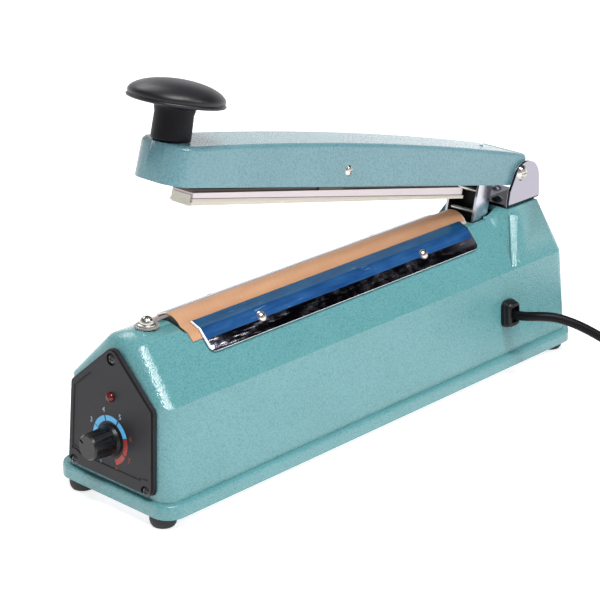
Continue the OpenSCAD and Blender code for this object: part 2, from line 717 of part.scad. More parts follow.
module hinge_bracket() color([0.82, 0.82, 0.86]) difference() {
    intersection() {
        // folded U section
        translate([bracket_x0, 0, tower_z]) rotate([90, 0, 90]) linear_extrude(bracket_x1 - bracket_x0)
            difference() {
                round_rect(-ear_half, ear_half, 0, 40, 3);
                round_rect(-ear_half + sheet, ear_half - sheet, sheet, 60, 3 - sheet);
            }
        // outline of the ears
        rotate([90, 0, 0]) translate([0, 0, -50]) linear_extrude(100) union() {
            translate([ear_x, ear_z]) circle(ear_r);
            polygon([
                [bracket_x0 - 1, tower_z - 1], [bracket_x1 + 1, tower_z - 1],
                [bracket_x1, tower_z + 4], [ear_x + ear_r, ear_z],
                [ear_x + ear_r * cos(140), ear_z + ear_r * sin(140)],
                [bracket_x0 + 1.2, ear_z - 3], [bracket_x0, tower_z + 4]
            ]);
        }
    }
    translate([pivot_x, 0, pivot_z]) y_rod(pin_d / 2, 60);
    for (p = bracket_screw_at)
        translate([p[0], p[1], tower_z - 1]) cylinder(r = 2 + run_gap, h = sheet + 2);
}

module bracket_screws() color([0.78, 0.78, 0.80])
    for (p = bracket_screw_at)
        translate([p[0], p[1], tower_z + sheet]) dome_screw(3.4, 1.8, 2, sheet + wall + 1.4);

module hinge_pin() color([0.70, 0.71, 0.74]) translate([pivot_x, 0, pivot_z]) {
    y_rod(pin_d / 2, tower_w);
    translate([0, -ear_half, 0]) rotate([90, 0, 0]) dome_screw(4.4, 2.2, pin_d / 2, 2);
    translate([0, ear_half, 0]) rotate([-90, 0, 0]) cylinder(r = 5, h = 3, $fn = 6);
}

module hinge_bush() color([0.66, 0.67, 0.70]) arm_frame()
    translate([pivot_x, arm_half - arm_wall, pivot_z]) rotate([90, 0, 0])
        tube(pin_d / 2 + 2, pin_d / 2 + run_gap, arm_w - 2 * arm_wall);

module spring_hanger() color([0.55, 0.56, 0.58]) difference() {
    union() {
        translate([anchor_x - 8, -5, deck_z - wall + 0.4 - 1.5]) cube([9.5, 10, 1.5]);
        translate([anchor_x, -5, hook_rest()[2] - 5]) cube([1.5, 10, deck_z - wall + 0.4 - hook_rest()[2] + 5]);
    }
    translate([anchor_x - 4, 0, deck_z - wall - 4]) cylinder(r = screw_r + run_gap, h = 8);
    translate([anchor_x - 1, 0, hook_rest()[2]]) rotate([0, 90, 0]) cylinder(r = 1.6, h = 5);
}

// where the spring's pin in the lever rests with the arm open
function hook_rest() = [
    pivot_x + (hook_x - pivot_x) * cos(arm_open) + (hook_z - pivot_z) * sin(arm_open), 0,
    pivot_z - (hook_x - pivot_x) * sin(arm_open) + (hook_z - pivot_z) * cos(arm_open)
];

// swept round wire along a list of points
function ring_at(p, d, r, n) =
    let (
        side = unit(cross(d, abs(d[2]) < 0.9 ? [0, 0, 1] : [0, 1, 0])),
        up = cross(side, d)
    )
    [for (k = [0:n - 1]) p + r * (cos(360 * k / n) * side + sin(360 * k / n) * up)];
module sweep(path, r, n) {
    m = len(path);
    points = [for (i = [0:m - 1], q = ring_at(path[i],
        unit(path[min(i + 1, m - 1)] - path[max(i - 1, 0)]), r, n)) q];
    sides = [for (i = [0:m - 2], k = [0:n - 1])
        [i * n + k, (i + 1) * n + k, (i + 1) * n + (k + 1) % n, i * n + (k + 1) % n]];
    polyhedron(points, concat(sides, [[for (k = [0:n - 1]) k]],
        [[for (k = [n - 1:-1:0]) (m - 1) * n + k]]));
}

module return_spring() color([0.60, 0.61, 0.63]) {
    turns = 11;
    steps = 12;
    wire = 0.7;
    coil_r = 4.2;
    x0 = anchor_x + 7;
    x1 = hook_rest()[0] - 7;
    z = hook_rest()[2];
    helix = [for (i = [0:turns * steps])
        [x0 + (x1 - x0) * i / (turns * steps), coil_r * cos(360 * i / steps),
            z + coil_r * sin(360 * i / steps)]];
    // one end is bent down behind the hanger, the other hooks over the lever's pin
    tail0 = [
        [anchor_x - 1.7, 0, z - 3], [anchor_x - 1.5, 0, z - 0.9], [anchor_x - 0.3, 0, z],
        [anchor_x + 4.6, 0.3, z], [x0 - 1.4, 2.2, z]
    ];
    hook_r = post_r + wire + 0.1;
    tail1 = concat([[x1 + 1.4, 2.2, z]],
        [for (a = [170:-35:-40]) hook_rest() + hook_r * [cos(a), 0, sin(a)]]);
    sweep(concat(tail0, helix, tail1), wire, 6);
}

// ---- arm ----

// top of the shut arm along its length: a long crown that falls away at the hinge
function arm_top(x) =
    let (
        mid = (arm_x0 + pivot_x - 14) / 2,
        half = mid - arm_x0
    )
    arm_z + arm_h - arm_crown * pow((x - mid) / half, 2)
        - (x > pivot_x - 14 ? 0.012 * pow(x - pivot_x + 14, 2) : 0);

// side view of the arm, drawn in by inset all round
module arm_side(inset) {
    x0 = arm_x0 + inset;
    x1 = arm_x1 - inset;
    steps = 24;
    polygon(concat(
        [[x0 + 1.2, arm_z - (inset > 0 ? 5 : 0)], [x0, arm_z + 2]],
        [for (i = [0:steps]) let (x = x0 + (x1 - x0) * i / steps) [x, arm_top(x) - inset]],
        [[x1, arm_z + 4], [x1 - 3, arm_z - (inset > 0 ? 5 : 0)]]
    ));
}

// plan of the arm with its bowed nose
module arm_plan(inset) {
    nose_r = 24;
    half = arm_half - inset;
    intersection() {
        union() {
            translate([arm_x0 + nose_r, 0]) circle(nose_r - inset, $fn = 96);
            translate([arm_x0 + nose_r - 17, -half]) square([arm_x1 - arm_x0, arm_w - 2 * inset]);
        }
        round_rect(arm_x0 - 5, arm_x1 - inset, -half, half, max(4 - 2 * inset, 0.3));
    }
}

module arm_solid(inset) intersection() {
    rotate([90, 0, 0]) translate([0, 0, -30]) linear_extrude(60) arm_side(inset);
    translate([0, 0, arm_z - 10]) linear_extrude(60) arm_plan(inset);
}

module sealing_arm() color([0.45, 0.68, 0.70]) arm_frame() difference() {
    union() {
        difference() {
            arm_solid(0);
            arm_solid(arm_wall);
        }
        // seat for the handle on the sloping top, and the boss under it
        translate([handle_x, 0, arm_top(handle_x) - 1.5])
            cylinder(r = stem_d / 2 - 0.5, h = 1.5 + handle_seat);
        translate([handle_x, 0, arm_z + 4.5]) cylinder(r = 6.5, h = arm_top(handle_x) - arm_z - 5.5);
        // pad that the lever is screwed to
        translate([lever_x0 + 0.6, -lever_half, pad_z])
            cube([lever_x1 - lever_x0 - 1.2, 2 * lever_half, arm_top(lever_x0) - pad_z - 1.2]);
    }
    translate([pivot_x, 0, pivot_z]) y_rod(pin_d / 2 + run_gap, 60);
    translate([bar_pivot_x, 0, bar_pivot_z]) y_rod(2, 60);
    translate([handle_x, 0, arm_z]) cylinder(r = 2 + run_gap, h = 40);
    for (y = [-4, 4]) translate([(lever_x0 + lever_x1) / 2, y, pad_z - 1])
        cylinder(r = screw_r, h = 2.9);
}

module lever() color([0.80, 0.80, 0.83]) arm_frame() difference() {
    union() {
        // side plates, narrowing to the spring's pin
        for (s = [-1, 1]) translate([0, s * (lever_half - lever_t / 2), 0]) rotate([90, 0, 0])
            linear_extrude(lever_t, center = true)
                polygon([
                    [lever_x0, pad_z], [lever_x0, hook_z + 14], [hook_x - 4, hook_z], [hook_x - 4, lever_z0],
                    [hook_x + 4, lever_z0], [lever_x1, lever_z0 + 8], [lever_x1, pad_z]
                ]);
        // web at the back
        translate([lever_x1 - lever_t, -lever_half, lever_z0 + 14])
            cube([lever_t, 2 * lever_half, pad_z - lever_z0 - 14]);
        // top flange under the pad
        translate([lever_x0, -lever_half, pad_z - lever_t])
            cube([lever_x1 - lever_x0, 2 * lever_half, lever_t]);
    }
    for (p = lever_pin_at) translate([p[0], 0, p[1]]) y_rod(post_r, 60);
    for (y = [-4, 4]) translate([(lever_x0 + lever_x1) / 2, y, pad_z - 3])
        cylinder(r = screw_r + run_gap, h = 6);
}
lever_pin_at = [[lever_x0 + 3.4, arm_z - 5], [lever_x0 + 3, arm_z - 17], [hook_x, hook_z]];

module lever_pins() color([0.72, 0.73, 0.76]) arm_frame() {
    for (p = lever_pin_at) translate([p[0], 0, p[1]]) {
        y_rod(post_r, 2 * lever_half);
    }
    for (y = [-4, 4]) translate([(lever_x0 + lever_x1) / 2, y, pad_z - lever_t]) mirror([0, 0, 1])
        dome_screw(dome_r, 1.5, screw_r, lever_t + 1.8);
}

module handle() color([0.10, 0.10, 0.11]) arm_frame()
    translate([handle_x, 0, arm_top(handle_x) + handle_seat]) difference() {
        rotate_extrude($fn = 72) polygon(concat(
            [[0, 0], [stem_d / 2 - 0.3, 0], [stem_d / 2, 0.6], [stem_d / 2, handle_h - 15]],
            // neck sweeping out under the cap
            [for (i = [0:6]) [stem_d / 2 + 0.2 + 3.8 * (1 - cos(15 * i)), handle_h - 14 + 2.4 * sin(15 * i)]],
            [[cap_d / 2 - 2, handle_h - 11.2], [cap_d / 2 - 0.5, handle_h - 10.8],
                [cap_d / 2, handle_h - 9.8], [cap_d / 2, handle_h - 8.6], [cap_d / 2 - 0.7, handle_h - 7.8]],
            // low dome
            [for (i = [1:9]) [(cap_d / 2 - 1.4) * cos(10 * i), handle_h - 7.6 + 7.6 * sin(10 * i)]]
        ));
        translate([0, 0, -1]) cylinder(r = 2, h = 16);
    }

module handle_screw() color([0.62, 0.63, 0.65]) arm_frame()
    translate([handle_x, 0, arm_z + 4.5]) mirror([0, 0, 1])
        dome_screw(3.8, 2, 2, arm_top(handle_x) - arm_z - 4.5 + 12);

module bar_pivot_screw() color([0.72, 0.73, 0.76]) arm_frame()
    translate([bar_pivot_x, 0, bar_pivot_z]) {
        y_rod(2, arm_w);
        translate([0, -arm_half, 0]) rotate([90, 0, 0]) dome_screw(dome_r, 1.2, 2, 2);
        translate([0, arm_half, 0]) rotate([-90, 0, 0]) cylinder(r = 3.2, h = 2, $fn = 6);
    }

// ---- press bar ----

module bar_carrier() color([0.45, 0.38, 0.32]) bar_frame() difference() {
    union() {
        translate([bar_x0 - 0.8, -6, bar_top]) cube([bar_x1 - bar_x0 - 1, 12, 1.4]);
        for (s = [-1, 1]) hull() {
            translate([bar_pivot_x, s * 6, bar_pivot_z]) y_rod(4.2, 2);
            translate([bar_pivot_x - 9, s * 6 - 1, bar_top]) cube([18, 2, 1.4]);
        }
    }
    translate([bar_pivot_x, 0, bar_pivot_z]) y_rod(2 + run_gap, 60);
}

module press_bar() color([0.80, 0.80, 0.83]) bar_frame()
    translate([bar_x0, 0, bar_z]) rotate([90, 0, 90]) linear_extrude(bar_x1 - bar_x0) difference() {
        translate([-bar_w / 2, 0]) square([bar_w, bar_h]);
        translate([-bar_w / 2 + 1.2, -1]) square([bar_w - 2.4, bar_h - 0.2]);
    }

module sealing_rubber() color([0.90, 0.89, 0.85]) bar_frame()
    translate([bar_x0 - rubber_nose, 0, rubber_z]) rotate([90, 0, 90])
        linear_extrude(bar_x1 - bar_x0 + rubber_nose + 2.5) union() {
            translate([-bar_w / 2 + 1.2, 0.5]) square([bar_w - 2.4, rubber_out + bar_h - 1.7]);
            translate([-bar_w / 2 + 1.7, 0]) square([bar_w - 3.4, 1]);
            translate([-bar_w / 2, 0.4]) square([bar_w, rubber_out - 0.4]);
        }

// ---- mains lead ----

module cord_bush() color([0.10, 0.10, 0.11]) translate([exit_x, wall_exit_y, exit_z])
    rotate([90 - lean_a, 0, 0]) difference() {
        union() {
            // head with two flats, chamfered towards the lead
            intersection() {
                union() {
                    translate([0, 0, 0.1]) cylinder(r = 7.7, h = 5);
                    translate([0, 0, 5.1 - eps]) cylinder(r1 = 7.7, r2 = 6, h = 2.8);
                }
                translate([-5.6, -10, 0]) cube([11.2, 20, 9]);
            }
            translate([0, 0, -wall - 2.4]) cylinder(r = lead_d / 2 + 2.6, h = wall + 3);
        }
        translate([0, 0, -20]) cylinder(r = lead_d / 2 + run_gap * 3, h = 40);
    }

// smooth points through the route, several to each stretch
function blend_point(a, b, c, d, t) =
    0.5 * ((2 * b) + (c - a) * t + (2 * a - 5 * b + 4 * c - d) * t * t
        + (3 * b - a - 3 * c + d) * t * t * t);
function smooth(path, per) =
    let (m = len(path) - 1)
    concat([for (i = [0:m - 1], j = [0:per - 1]) blend_point(path[max(i - 1, 0)], path[i],
        path[i + 1], path[min(i + 2, m)], j / per)], [path[m]]);

module mains_lead() color([0.09, 0.09, 0.10]) sweep(smooth(lead_route, 2), lead_d / 2, 8);

module lead_coil() color([0.09, 0.09, 0.10]) translate(coil_c)
    rotate_extrude() translate([coil_mid_r - coil_rows * lead_d / 2, 0.05])
        square([coil_rows * lead_d, coil_layers * lead_d]);

module mains_plug() color([0.12, 0.12, 0.13]) translate(plug_at) rotate([0, 0, -90]) {
    difference() {
        union() {
            translate([-14, -13, 0]) cube([30, 26, 14]);
            translate([16 - eps, 0, 7]) rotate([0, 90, 0]) cylinder(r1 = 6, r2 = 3.6, h = 12);
        }
        for (y = [-13, 13]) translate([0, y, -1]) cylinder(r = 3, h = 20);
        translate([16, 0, 7]) rotate([0, 90, 0]) cylinder(r = lead_d / 2, h = 20);
    }
    for (y = [-9.3, 9.3]) translate([-14 + eps, y, 7]) rotate([0, -90, 0]) {
        cylinder(r = 2, h = 15);
        translate([0, 0, 15]) sphere(r = 2);
    }
}

base_housing();
bottom_plate();
bottom_screws();
rubber_feet();
foot_screws();
control_panel();
panel_screws();
indicator_lamp();
timer_knob();
timer_potentiometer();
timer_board();
transformer_core();
transformer_coil();
microswitch();
switch_plunger();
seal_bed();
bed_insulation();
heating_ribbon();
terminal_washers();
terminal_screws();
release_cloth();
cover_plate_near();
cover_plate_far();
cover_plate_screws();
hinge_bracket();
bracket_screws();
hinge_pin();
spring_hanger();
return_spring();
sealing_arm();
hinge_bush();
lever();
lever_pins();
handle();
handle_screw();
bar_pivot_screw();
bar_carrier();
press_bar();
sealing_rubber();
cord_bush();
mains_lead();
lead_coil();
mains_plug();
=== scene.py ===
import math

import bmesh
import bpy
from mathutils import Matrix, Vector


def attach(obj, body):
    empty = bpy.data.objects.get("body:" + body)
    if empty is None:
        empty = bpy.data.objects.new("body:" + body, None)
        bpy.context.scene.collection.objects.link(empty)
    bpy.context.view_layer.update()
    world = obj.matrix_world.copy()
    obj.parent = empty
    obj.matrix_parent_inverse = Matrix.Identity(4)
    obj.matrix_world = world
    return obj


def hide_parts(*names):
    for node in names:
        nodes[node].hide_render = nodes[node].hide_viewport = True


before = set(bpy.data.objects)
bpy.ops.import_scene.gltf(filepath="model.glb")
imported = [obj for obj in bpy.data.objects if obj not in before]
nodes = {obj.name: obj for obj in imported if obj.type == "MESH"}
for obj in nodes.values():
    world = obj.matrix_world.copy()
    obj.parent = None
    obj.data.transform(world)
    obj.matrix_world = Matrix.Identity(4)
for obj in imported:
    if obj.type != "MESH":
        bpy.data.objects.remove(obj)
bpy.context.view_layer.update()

scene = bpy.context.scene
print("frame loaded:", len(nodes), "nodes")


# small helpers

def deselectAll():
    for thing in bpy.context.selected_objects:
        thing.select_set(False)


def active():
    return bpy.context.view_layer.objects.active


def makeActive(piece):
    deselectAll()
    bpy.context.view_layer.objects.active = piece
    piece.select_set(True)


def srgb(red, green, blue):
    def linear(value):
        value = value / 255
        return value / 12.92 if value <= 0.04045 else ((value + 0.055) / 1.055) ** 2.4
    return (linear(red), linear(green), linear(blue), 1)


class Flow:
    # a socket that can stand in a sum: each operator adds its Math node
    def __init__(self, tree, socket=None):
        self.tree = tree
        self.socket = socket

    def add(self, kind, settings=None, inputs=None, out=0):
        node = self.tree.nodes.new(kind)
        for name, value in (settings or {}).items():
            if name == "stops":
                ramp = node.color_ramp.elements
                while len(ramp) < len(value):
                    ramp.new(0.5)
                for element, (place, colour) in zip(ramp, value):
                    element.position = place
                    element.color = colour
            else:
                setattr(node, name, value)
        for name, value in (inputs or {}).items():
            if isinstance(value, Flow):
                self.tree.links.new(value.socket, node.inputs[name])
            else:
                node.inputs[name].default_value = value
        return Flow(self.tree, node.outputs[out] if node.outputs else None)

    def maths(self, operation, *values):
        return self.add("ShaderNodeMath", {"operation": operation}, dict(enumerate(values)))

    def __add__(self, other):
        return self.maths("ADD", self, other)

    def __sub__(self, other):
        return self.maths("SUBTRACT", self, other)

    def __rsub__(self, other):
        return self.maths("SUBTRACT", other, self)

    def __mul__(self, other):
        return self.maths("MULTIPLY", self, other)

    def __gt__(self, other):
        return self.maths("GREATER_THAN", self, other)

    def __lt__(self, other):
        return self.maths("LESS_THAN", self, other)

    __radd__ = __add__
    __rmul__ = __mul__

    def sine(self):
        return self.maths("SINE", self)

    def away(self):
        return self.maths("ABSOLUTE", self)

    def near(self, value, reach):
        return self.maths("COMPARE", self, value, reach)

    def highest(self, other):
        return self.maths("MAXIMUM", self, other)

    def step(self, low, high):
        return self.add("ShaderNodeMapRange", {"interpolation_type": "SMOOTHSTEP"},
                        {"Value": self, "From Min": low, "From Max": high})

    def mix(self, first, second):
        # colours by this mask
        return self.add("ShaderNodeMix", {"data_type": "RGBA"},
                        {"Factor": self, 6: first, 7: second}, out=2)

    def place(self, scale=(1, 1, 1), turn=(0, 0, 0)):
        return self.add("ShaderNodeMapping", {},
                        {"Vector": self, "Rotation": turn, "Scale": scale})

    def noise(self, size, detail=2.0, roughness=0.5):
        # patches of about this size in metres
        return self.add("ShaderNodeTexNoise", {},
                        {"Vector": self, "Scale": 1 / size, "Detail": detail,
                         "Roughness": roughness})

    def pebbles(self, size, smoothness):
        return self.add("ShaderNodeTexVoronoi", {"feature": "SMOOTH_F1"},
                        {"Vector": self, "Scale": 1 / size, "Smoothness": smoothness})

    def parts(self):
        split = self.add("ShaderNodeSeparateXYZ", {}, {"Vector": self})
        outputs = split.socket.node.outputs
        return [Flow(self.tree, output) for output in outputs]


class Finish:
    # a material with its Principled shader, and the object's own coordinates
    def __init__(self, name):
        self.material = bpy.data.materials.new(name)
        self.material.use_nodes = True
        self.tree = self.material.node_tree
        self.shader = self.tree.nodes["Principled BSDF"]
        self.flow = Flow(self.tree)
        self.here = self.flow.add("ShaderNodeTexCoord", out=3)

    def surface(self, **sockets):
        names = {"colour": "Base Color", "rough": "Roughness", "metal": "Metallic",
                 "coat": "Coat Weight", "coatRough": "Coat Roughness", "ior": "IOR",
                 "specular": "Specular IOR Level", "glass": "Transmission Weight",
                 "glow": "Emission Color", "glowPower": "Emission Strength"}
        for name, value in sockets.items():
            socket = self.shader.inputs[names[name]]
            if isinstance(value, Flow):
                self.tree.links.new(value.socket, socket)
            else:
                socket.default_value = value
        return self

    def bump(self, height, depth, strength=1.0):
        # height runs from 0 to 1, depth in metres
        bumped = self.flow.add("ShaderNodeBump", {},
                               {"Height": height, "Distance": depth, "Strength": strength})
        self.tree.links.new(bumped.socket, self.shader.inputs["Normal"])
        return self


# camera

cameraSet = {
    "place": (-0.73476, -0.6773, 0.455),
    "yaw": 46.54,            # degrees to the right of +Y
    "down": 21.27,
    "lens": 123.22,
}
bpy.ops.object.camera_add(location=cameraSet["place"],
                          rotation=(math.radians(90 - cameraSet["down"]), 0,
                                    math.radians(-cameraSet["yaw"])))
camera = active()
camera.name = "studioCamera"
camera.data.lens = cameraSet["lens"]
camera.data.sensor_width = 36
camera.data.clip_start = 0.05
scene.camera = camera
print("camera set")


# mains lead

lead = {
    "diameter": 0.0052,
    "length": 1.122,
    # from inside the wall, through the bush and down to the floor, in metres
    "route": [
        (0.1074, -0.030, 0.0376), (0.1074, -0.038, 0.0381), (0.1074, -0.045, 0.0385),
        (0.1084, -0.0504, 0.0392), (0.111, -0.056, 0.040), (0.1158, -0.063, 0.0398),
        (0.1208, -0.070, 0.0376), (0.1258, -0.077, 0.034), (0.1308, -0.084, 0.0294),
        (0.1366, -0.092, 0.0234), (0.1426, -0.100, 0.0172), (0.1485, -0.108, 0.0114),
        (0.154, -0.1153, 0.0072), (0.1603, -0.1237, 0.0039)],
    "coilCentre": (0.196, -0.110),
    "firstTurn": 216.9,      # degrees from +X, where the lead joins the coil
    "outerTurn": 0.0368,
    "lowerTurns": 3.0,
    "upperTurns": 2.3975,
    "riseTurns": 0.5,        # the end of the lower layer climbs onto the upper one
    "floorLevel": 0.0027,    # height of the lower layer's middle
    "perTurn": 24,
    "shortest": 0.003,       # stands in for the missing step at either end
    "toPlug": [(0.2297, -0.0985, 0.0077), (0.2297, -0.0865, 0.0071), (0.2297, -0.078, 0.00705)],
}


def coilPoints():
    pitch, floorLevel = lead["diameter"], lead["floorLevel"]
    total = lead["lowerTurns"] + lead["upperTurns"]
    points = []
    steps = round(total * lead["perTurn"])
    for step in range(steps + 1):
        turns = total * step / steps
        if turns <= lead["lowerTurns"]:
            radius = lead["outerTurn"] - pitch * turns
            climb = max(0, (turns - lead["lowerTurns"] + lead["riseTurns"]) / lead["riseTurns"])
            height = floorLevel + pitch * (1 - math.sqrt(max(0, 1 - climb ** 2)))
        else:
            radius = lead["outerTurn"] - pitch * (2 * lead["lowerTurns"] - turns)
            height = floorLevel + pitch
        angle = math.radians(lead["firstTurn"]) + 2 * math.pi * turns
        points.append((lead["coilCentre"][0] + radius * math.cos(angle),
                       lead["coilCentre"][1] + radius * math.sin(angle), height))
    return points


def buildLead():
    points = lead["route"] + coilPoints() + lead["toPlug"]
    line = bpy.data.curves.new("mainsLead", "CURVE")
    line.dimensions = "3D"
    line.resolution_u = 3
    line.bevel_depth = 1
    line.bevel_resolution = 5
    line.use_fill_caps = True
    spline = line.splines.new("BEZIER")
    spline.bezier_points.add(len(points) - 1)
    shortest = lead["shortest"]
    for index, point in enumerate(spline.bezier_points):
        here = Vector(points[index])
        before = Vector(points[max(index - 1, 0)])
        after = Vector(points[min(index + 1, len(points) - 1)])
        along = (after - before).normalized()
        point.co = here
        point.radius = lead["diameter"] / 2
        point.handle_left = here - along * ((here - before).length or shortest) / 3
        point.handle_right = here + along * ((after - here).length or shortest) / 3
    piece = bpy.data.objects.new("mainsLead", line)
    scene.collection.objects.link(piece)
    return piece


leadPiece = buildLead()
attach(leadPiece, "base")
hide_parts("mains_lead", "lead_coil")
print("lead laid")


# finishes

pivot = Vector((0.138245, 0, 0.1078))        # the arm's hinge
armOpen = math.radians(13)                   # how far the arm stands open


def acrossArm(along, up):
    # a place's height above the hinge, square to the open arm
    return (along - pivot.x) * math.sin(armOpen) + (up - pivot.z) * math.cos(armOpen)


def hammertone(name, low, high):
    paint = Finish(name)
    here = paint.here
    pebble = here.pebbles(0.0009, 0.4)
    fine = here.noise(0.0005, 2)
    height = (1 - pebble) * 0.7 + fine * 0.4
    drift = here.noise(0.03, 2)
    shade = (pebble * 0.9 + drift * 0.3 - 0.05).step(0.0, 1.0)
    paint.surface(colour=shade.mix(srgb(*high), srgb(*low)), rough=0.12 + fine * 0.08,
                  specular=0.6)
    paint.bump(height, 0.0002, 0.7)
    return paint.material


def handlePlastic(name, stemTop):
    # the cap is worn to a soft sheen, the stem under it stays dull
    body = Finish(name)
    along, _, up = body.here.parts()
    cap = acrossArm(along, up) > stemTop - pivot.z
    speck = body.here.noise(0.0007, 3)
    scuff = body.here.noise(0.01, 3).step(0.35, 0.75)
    dust = body.here.noise(0.0018, 2).step(0.72, 0.76)
    colour = (dust * 0.35).mix((scuff * 0.6 + speck * 0.3).mix(srgb(8, 7, 11), srgb(22, 20, 27)),
                               srgb(120, 118, 124))
    body.surface(colour=colour, rough=0.36 + scuff * 0.12, specular=0.12, coat=cap * 0.6,
                 coatRough=0.42)
    body.bump(speck, 0.00003, 0.7)
    return body.material


def twoTone(name, outside, inside, limit):
    # bright plate outside; the dark inside is painted shade of the slot, by the distance from the
    # middle plane
    metal = Finish(name)
    _, side, _ = metal.here.parts()
    paintedShadeInside = side.away() < limit
    haze = metal.here.noise(0.006, 3)
    # near-black inside: painted shade
    colour = paintedShadeInside.mix(srgb(*outside), srgb(*inside))
    metal.surface(colour=colour, metal=1 - paintedShadeInside * 0.9,
                  rough=0.14 + haze * 0.12 + paintedShadeInside * 0.3)
    metal.bump(haze, 0.00001, 0.5)
    return metal.material


ears = {
    "cutAt": 0.0186, "cutHalf": 0.0007,      # the ears' cut edge, painted dark as shade and a dark reflection, out from the middle
    "lineAt": 0.0177, "lineHalf": 0.00015,   # a painted highlight line just inside it
    "deckShadowSide": -0.0005,
}


def bracketSteel(name, tone, deck, level):
    # chromed ears over a base plate; the plate's near side is painted dark as the shadow of the
    # near ear
    metal = Finish(name)
    _, side, up = metal.here.parts()
    edge = side.away().near(ears["cutAt"], ears["cutHalf"])
    inner = side.away().near(ears["lineAt"], ears["lineHalf"])
    low = ((up < level) * (side < ears["deckShadowSide"])).highest(edge)
    haze = metal.here.noise(0.008, 3)
    lines = metal.here.place(scale=(1, 1, 0.1)).noise(0.0012, 3)
    # painted shadow on the deck and painted dark cut edges, with a painted highlight line
    colour = low.mix(srgb(*tone), srgb(*deck))
    metal.surface(colour=inner.mix(colour, srgb(206, 204, 214)), metal=1 - inner * 0.75,
                  rough=0.13 + haze * 0.1 + lines * 0.05)
    metal.bump(lines, 0.000005, 0.5)
    return metal.material


def plainPlastic(name, tone, rough, grain=0.0004, depth=0.00002, coat=0.0, specular=0.5):
    body = Finish(name)
    speck = body.here.noise(grain, 3)
    patch = body.here.noise(0.012, 2)
    tint = (speck * 0.5 + patch * 0.5).step(0.3, 0.75)
    darker, lighter = [max(0, c - 6) for c in tone], [c + 8 for c in tone]
    body.surface(colour=tint.mix(srgb(*darker), srgb(*lighter)), rough=rough + patch * 0.12,
                 coat=coat, coatRough=0.2, specular=specular)
    body.bump(speck, depth, 0.7)
    return body.material


def brightMetal(name, tone, rough, brush=(1, 1, 1), depth=0.000006):
    metal = Finish(name)
    haze = metal.here.noise(0.009, 3)
    lines = metal.here.place(scale=brush).noise(0.0012, 4)
    lighter = [min(255, c + 10) for c in tone]
    metal.surface(colour=haze.step(0.25, 0.8).mix(srgb(*tone), srgb(*lighter)), metal=1.0,
                  rough=rough + haze * 0.1 + lines * 0.06)
    metal.bump(lines, depth, 0.6)
    return metal.material


channel = {"band": 0.0018, "lineAt": 0.0019, "lineHalf": 0.0002}     # up from its lower edge


def pressChannel(name, tone, lip):
    # drawn aluminium whose lower lip is a duller band under a fine dark line
    metal = Finish(name)
    along, _, up = metal.here.parts()
    level = acrossArm(along, up)
    mesh = nodes["press_bar"].data
    lowest = min(acrossArm(vertex.co.x, vertex.co.z) for vertex in mesh.vertices)
    band = level < lowest + channel["band"]
    line = level.near(lowest + channel["lineAt"], channel["lineHalf"])
    streak = metal.here.place(scale=(0.02, 1, 1)).noise(0.0012, 4)
    haze = metal.here.noise(0.01, 3)
    colour = line.mix(band.mix(srgb(*tone), srgb(*lip)), srgb(112, 98, 92))
    metal.surface(colour=colour, metal=1 - band.highest(line) * 0.8,
                  rough=0.3 + streak * 0.1 + haze * 0.08)
    metal.bump(streak, 0.00001, 0.6)
    return metal.material


weaving = {"pitch": 0.0009, "axis": 0.0805, "radius": 0.0105}    # over the bed's round top


def releaseCloth(name):
    cloth = Finish(name)
    across, side, up = cloth.here.parts()
    pitch = 2 * math.pi / weaving["pitch"]
    arc = side.maths("ARCTAN2", side, up - weaving["axis"]) * weaving["radius"]
    warp = (across * pitch).sine() * 0.5 + 0.5
    weft = (arc * pitch).sine() * 0.5 + 0.5
    weave = warp * (1 - weft) + weft * (1 - warp)
    stain = cloth.here.place(scale=(0.3, 1, 1)).noise(0.006, 3)
    tone = (weave * 0.7 + stain * 0.5).step(0.1, 1.0)
    cloth.surface(colour=tone.mix(srgb(150, 105, 74), srgb(193, 150, 115)),
                  rough=0.36 + weave * 0.15, specular=0.45)
    cloth.bump(weave, 0.00007, 0.7)
    return cloth.material


def leadSheath(name):
    sheath = Finish(name)
    speck = sheath.here.noise(0.0009, 3)
    haze = sheath.here.noise(0.02, 2)
    sheath.surface(colour=haze.step(0.3, 0.8).mix(srgb(7, 7, 9), srgb(15, 15, 18)),
                   rough=0.34 + haze * 0.16, specular=0.13)
    sheath.bump(speck, 0.00003, 0.6)
    return sheath.material


def clearPlastic(name, tone, rough, glass):
    body = Finish(name)
    haze = body.here.noise(0.004, 2)
    lighter = [min(255, c + 12) for c in tone]
    body.surface(colour=haze.step(0.3, 0.8).mix(srgb(*tone), srgb(*lighter)),
                 rough=rough + haze * 0.1, glass=glass, ior=1.46)
    body.bump(haze, 0.00001, 0.5)
    return body.material


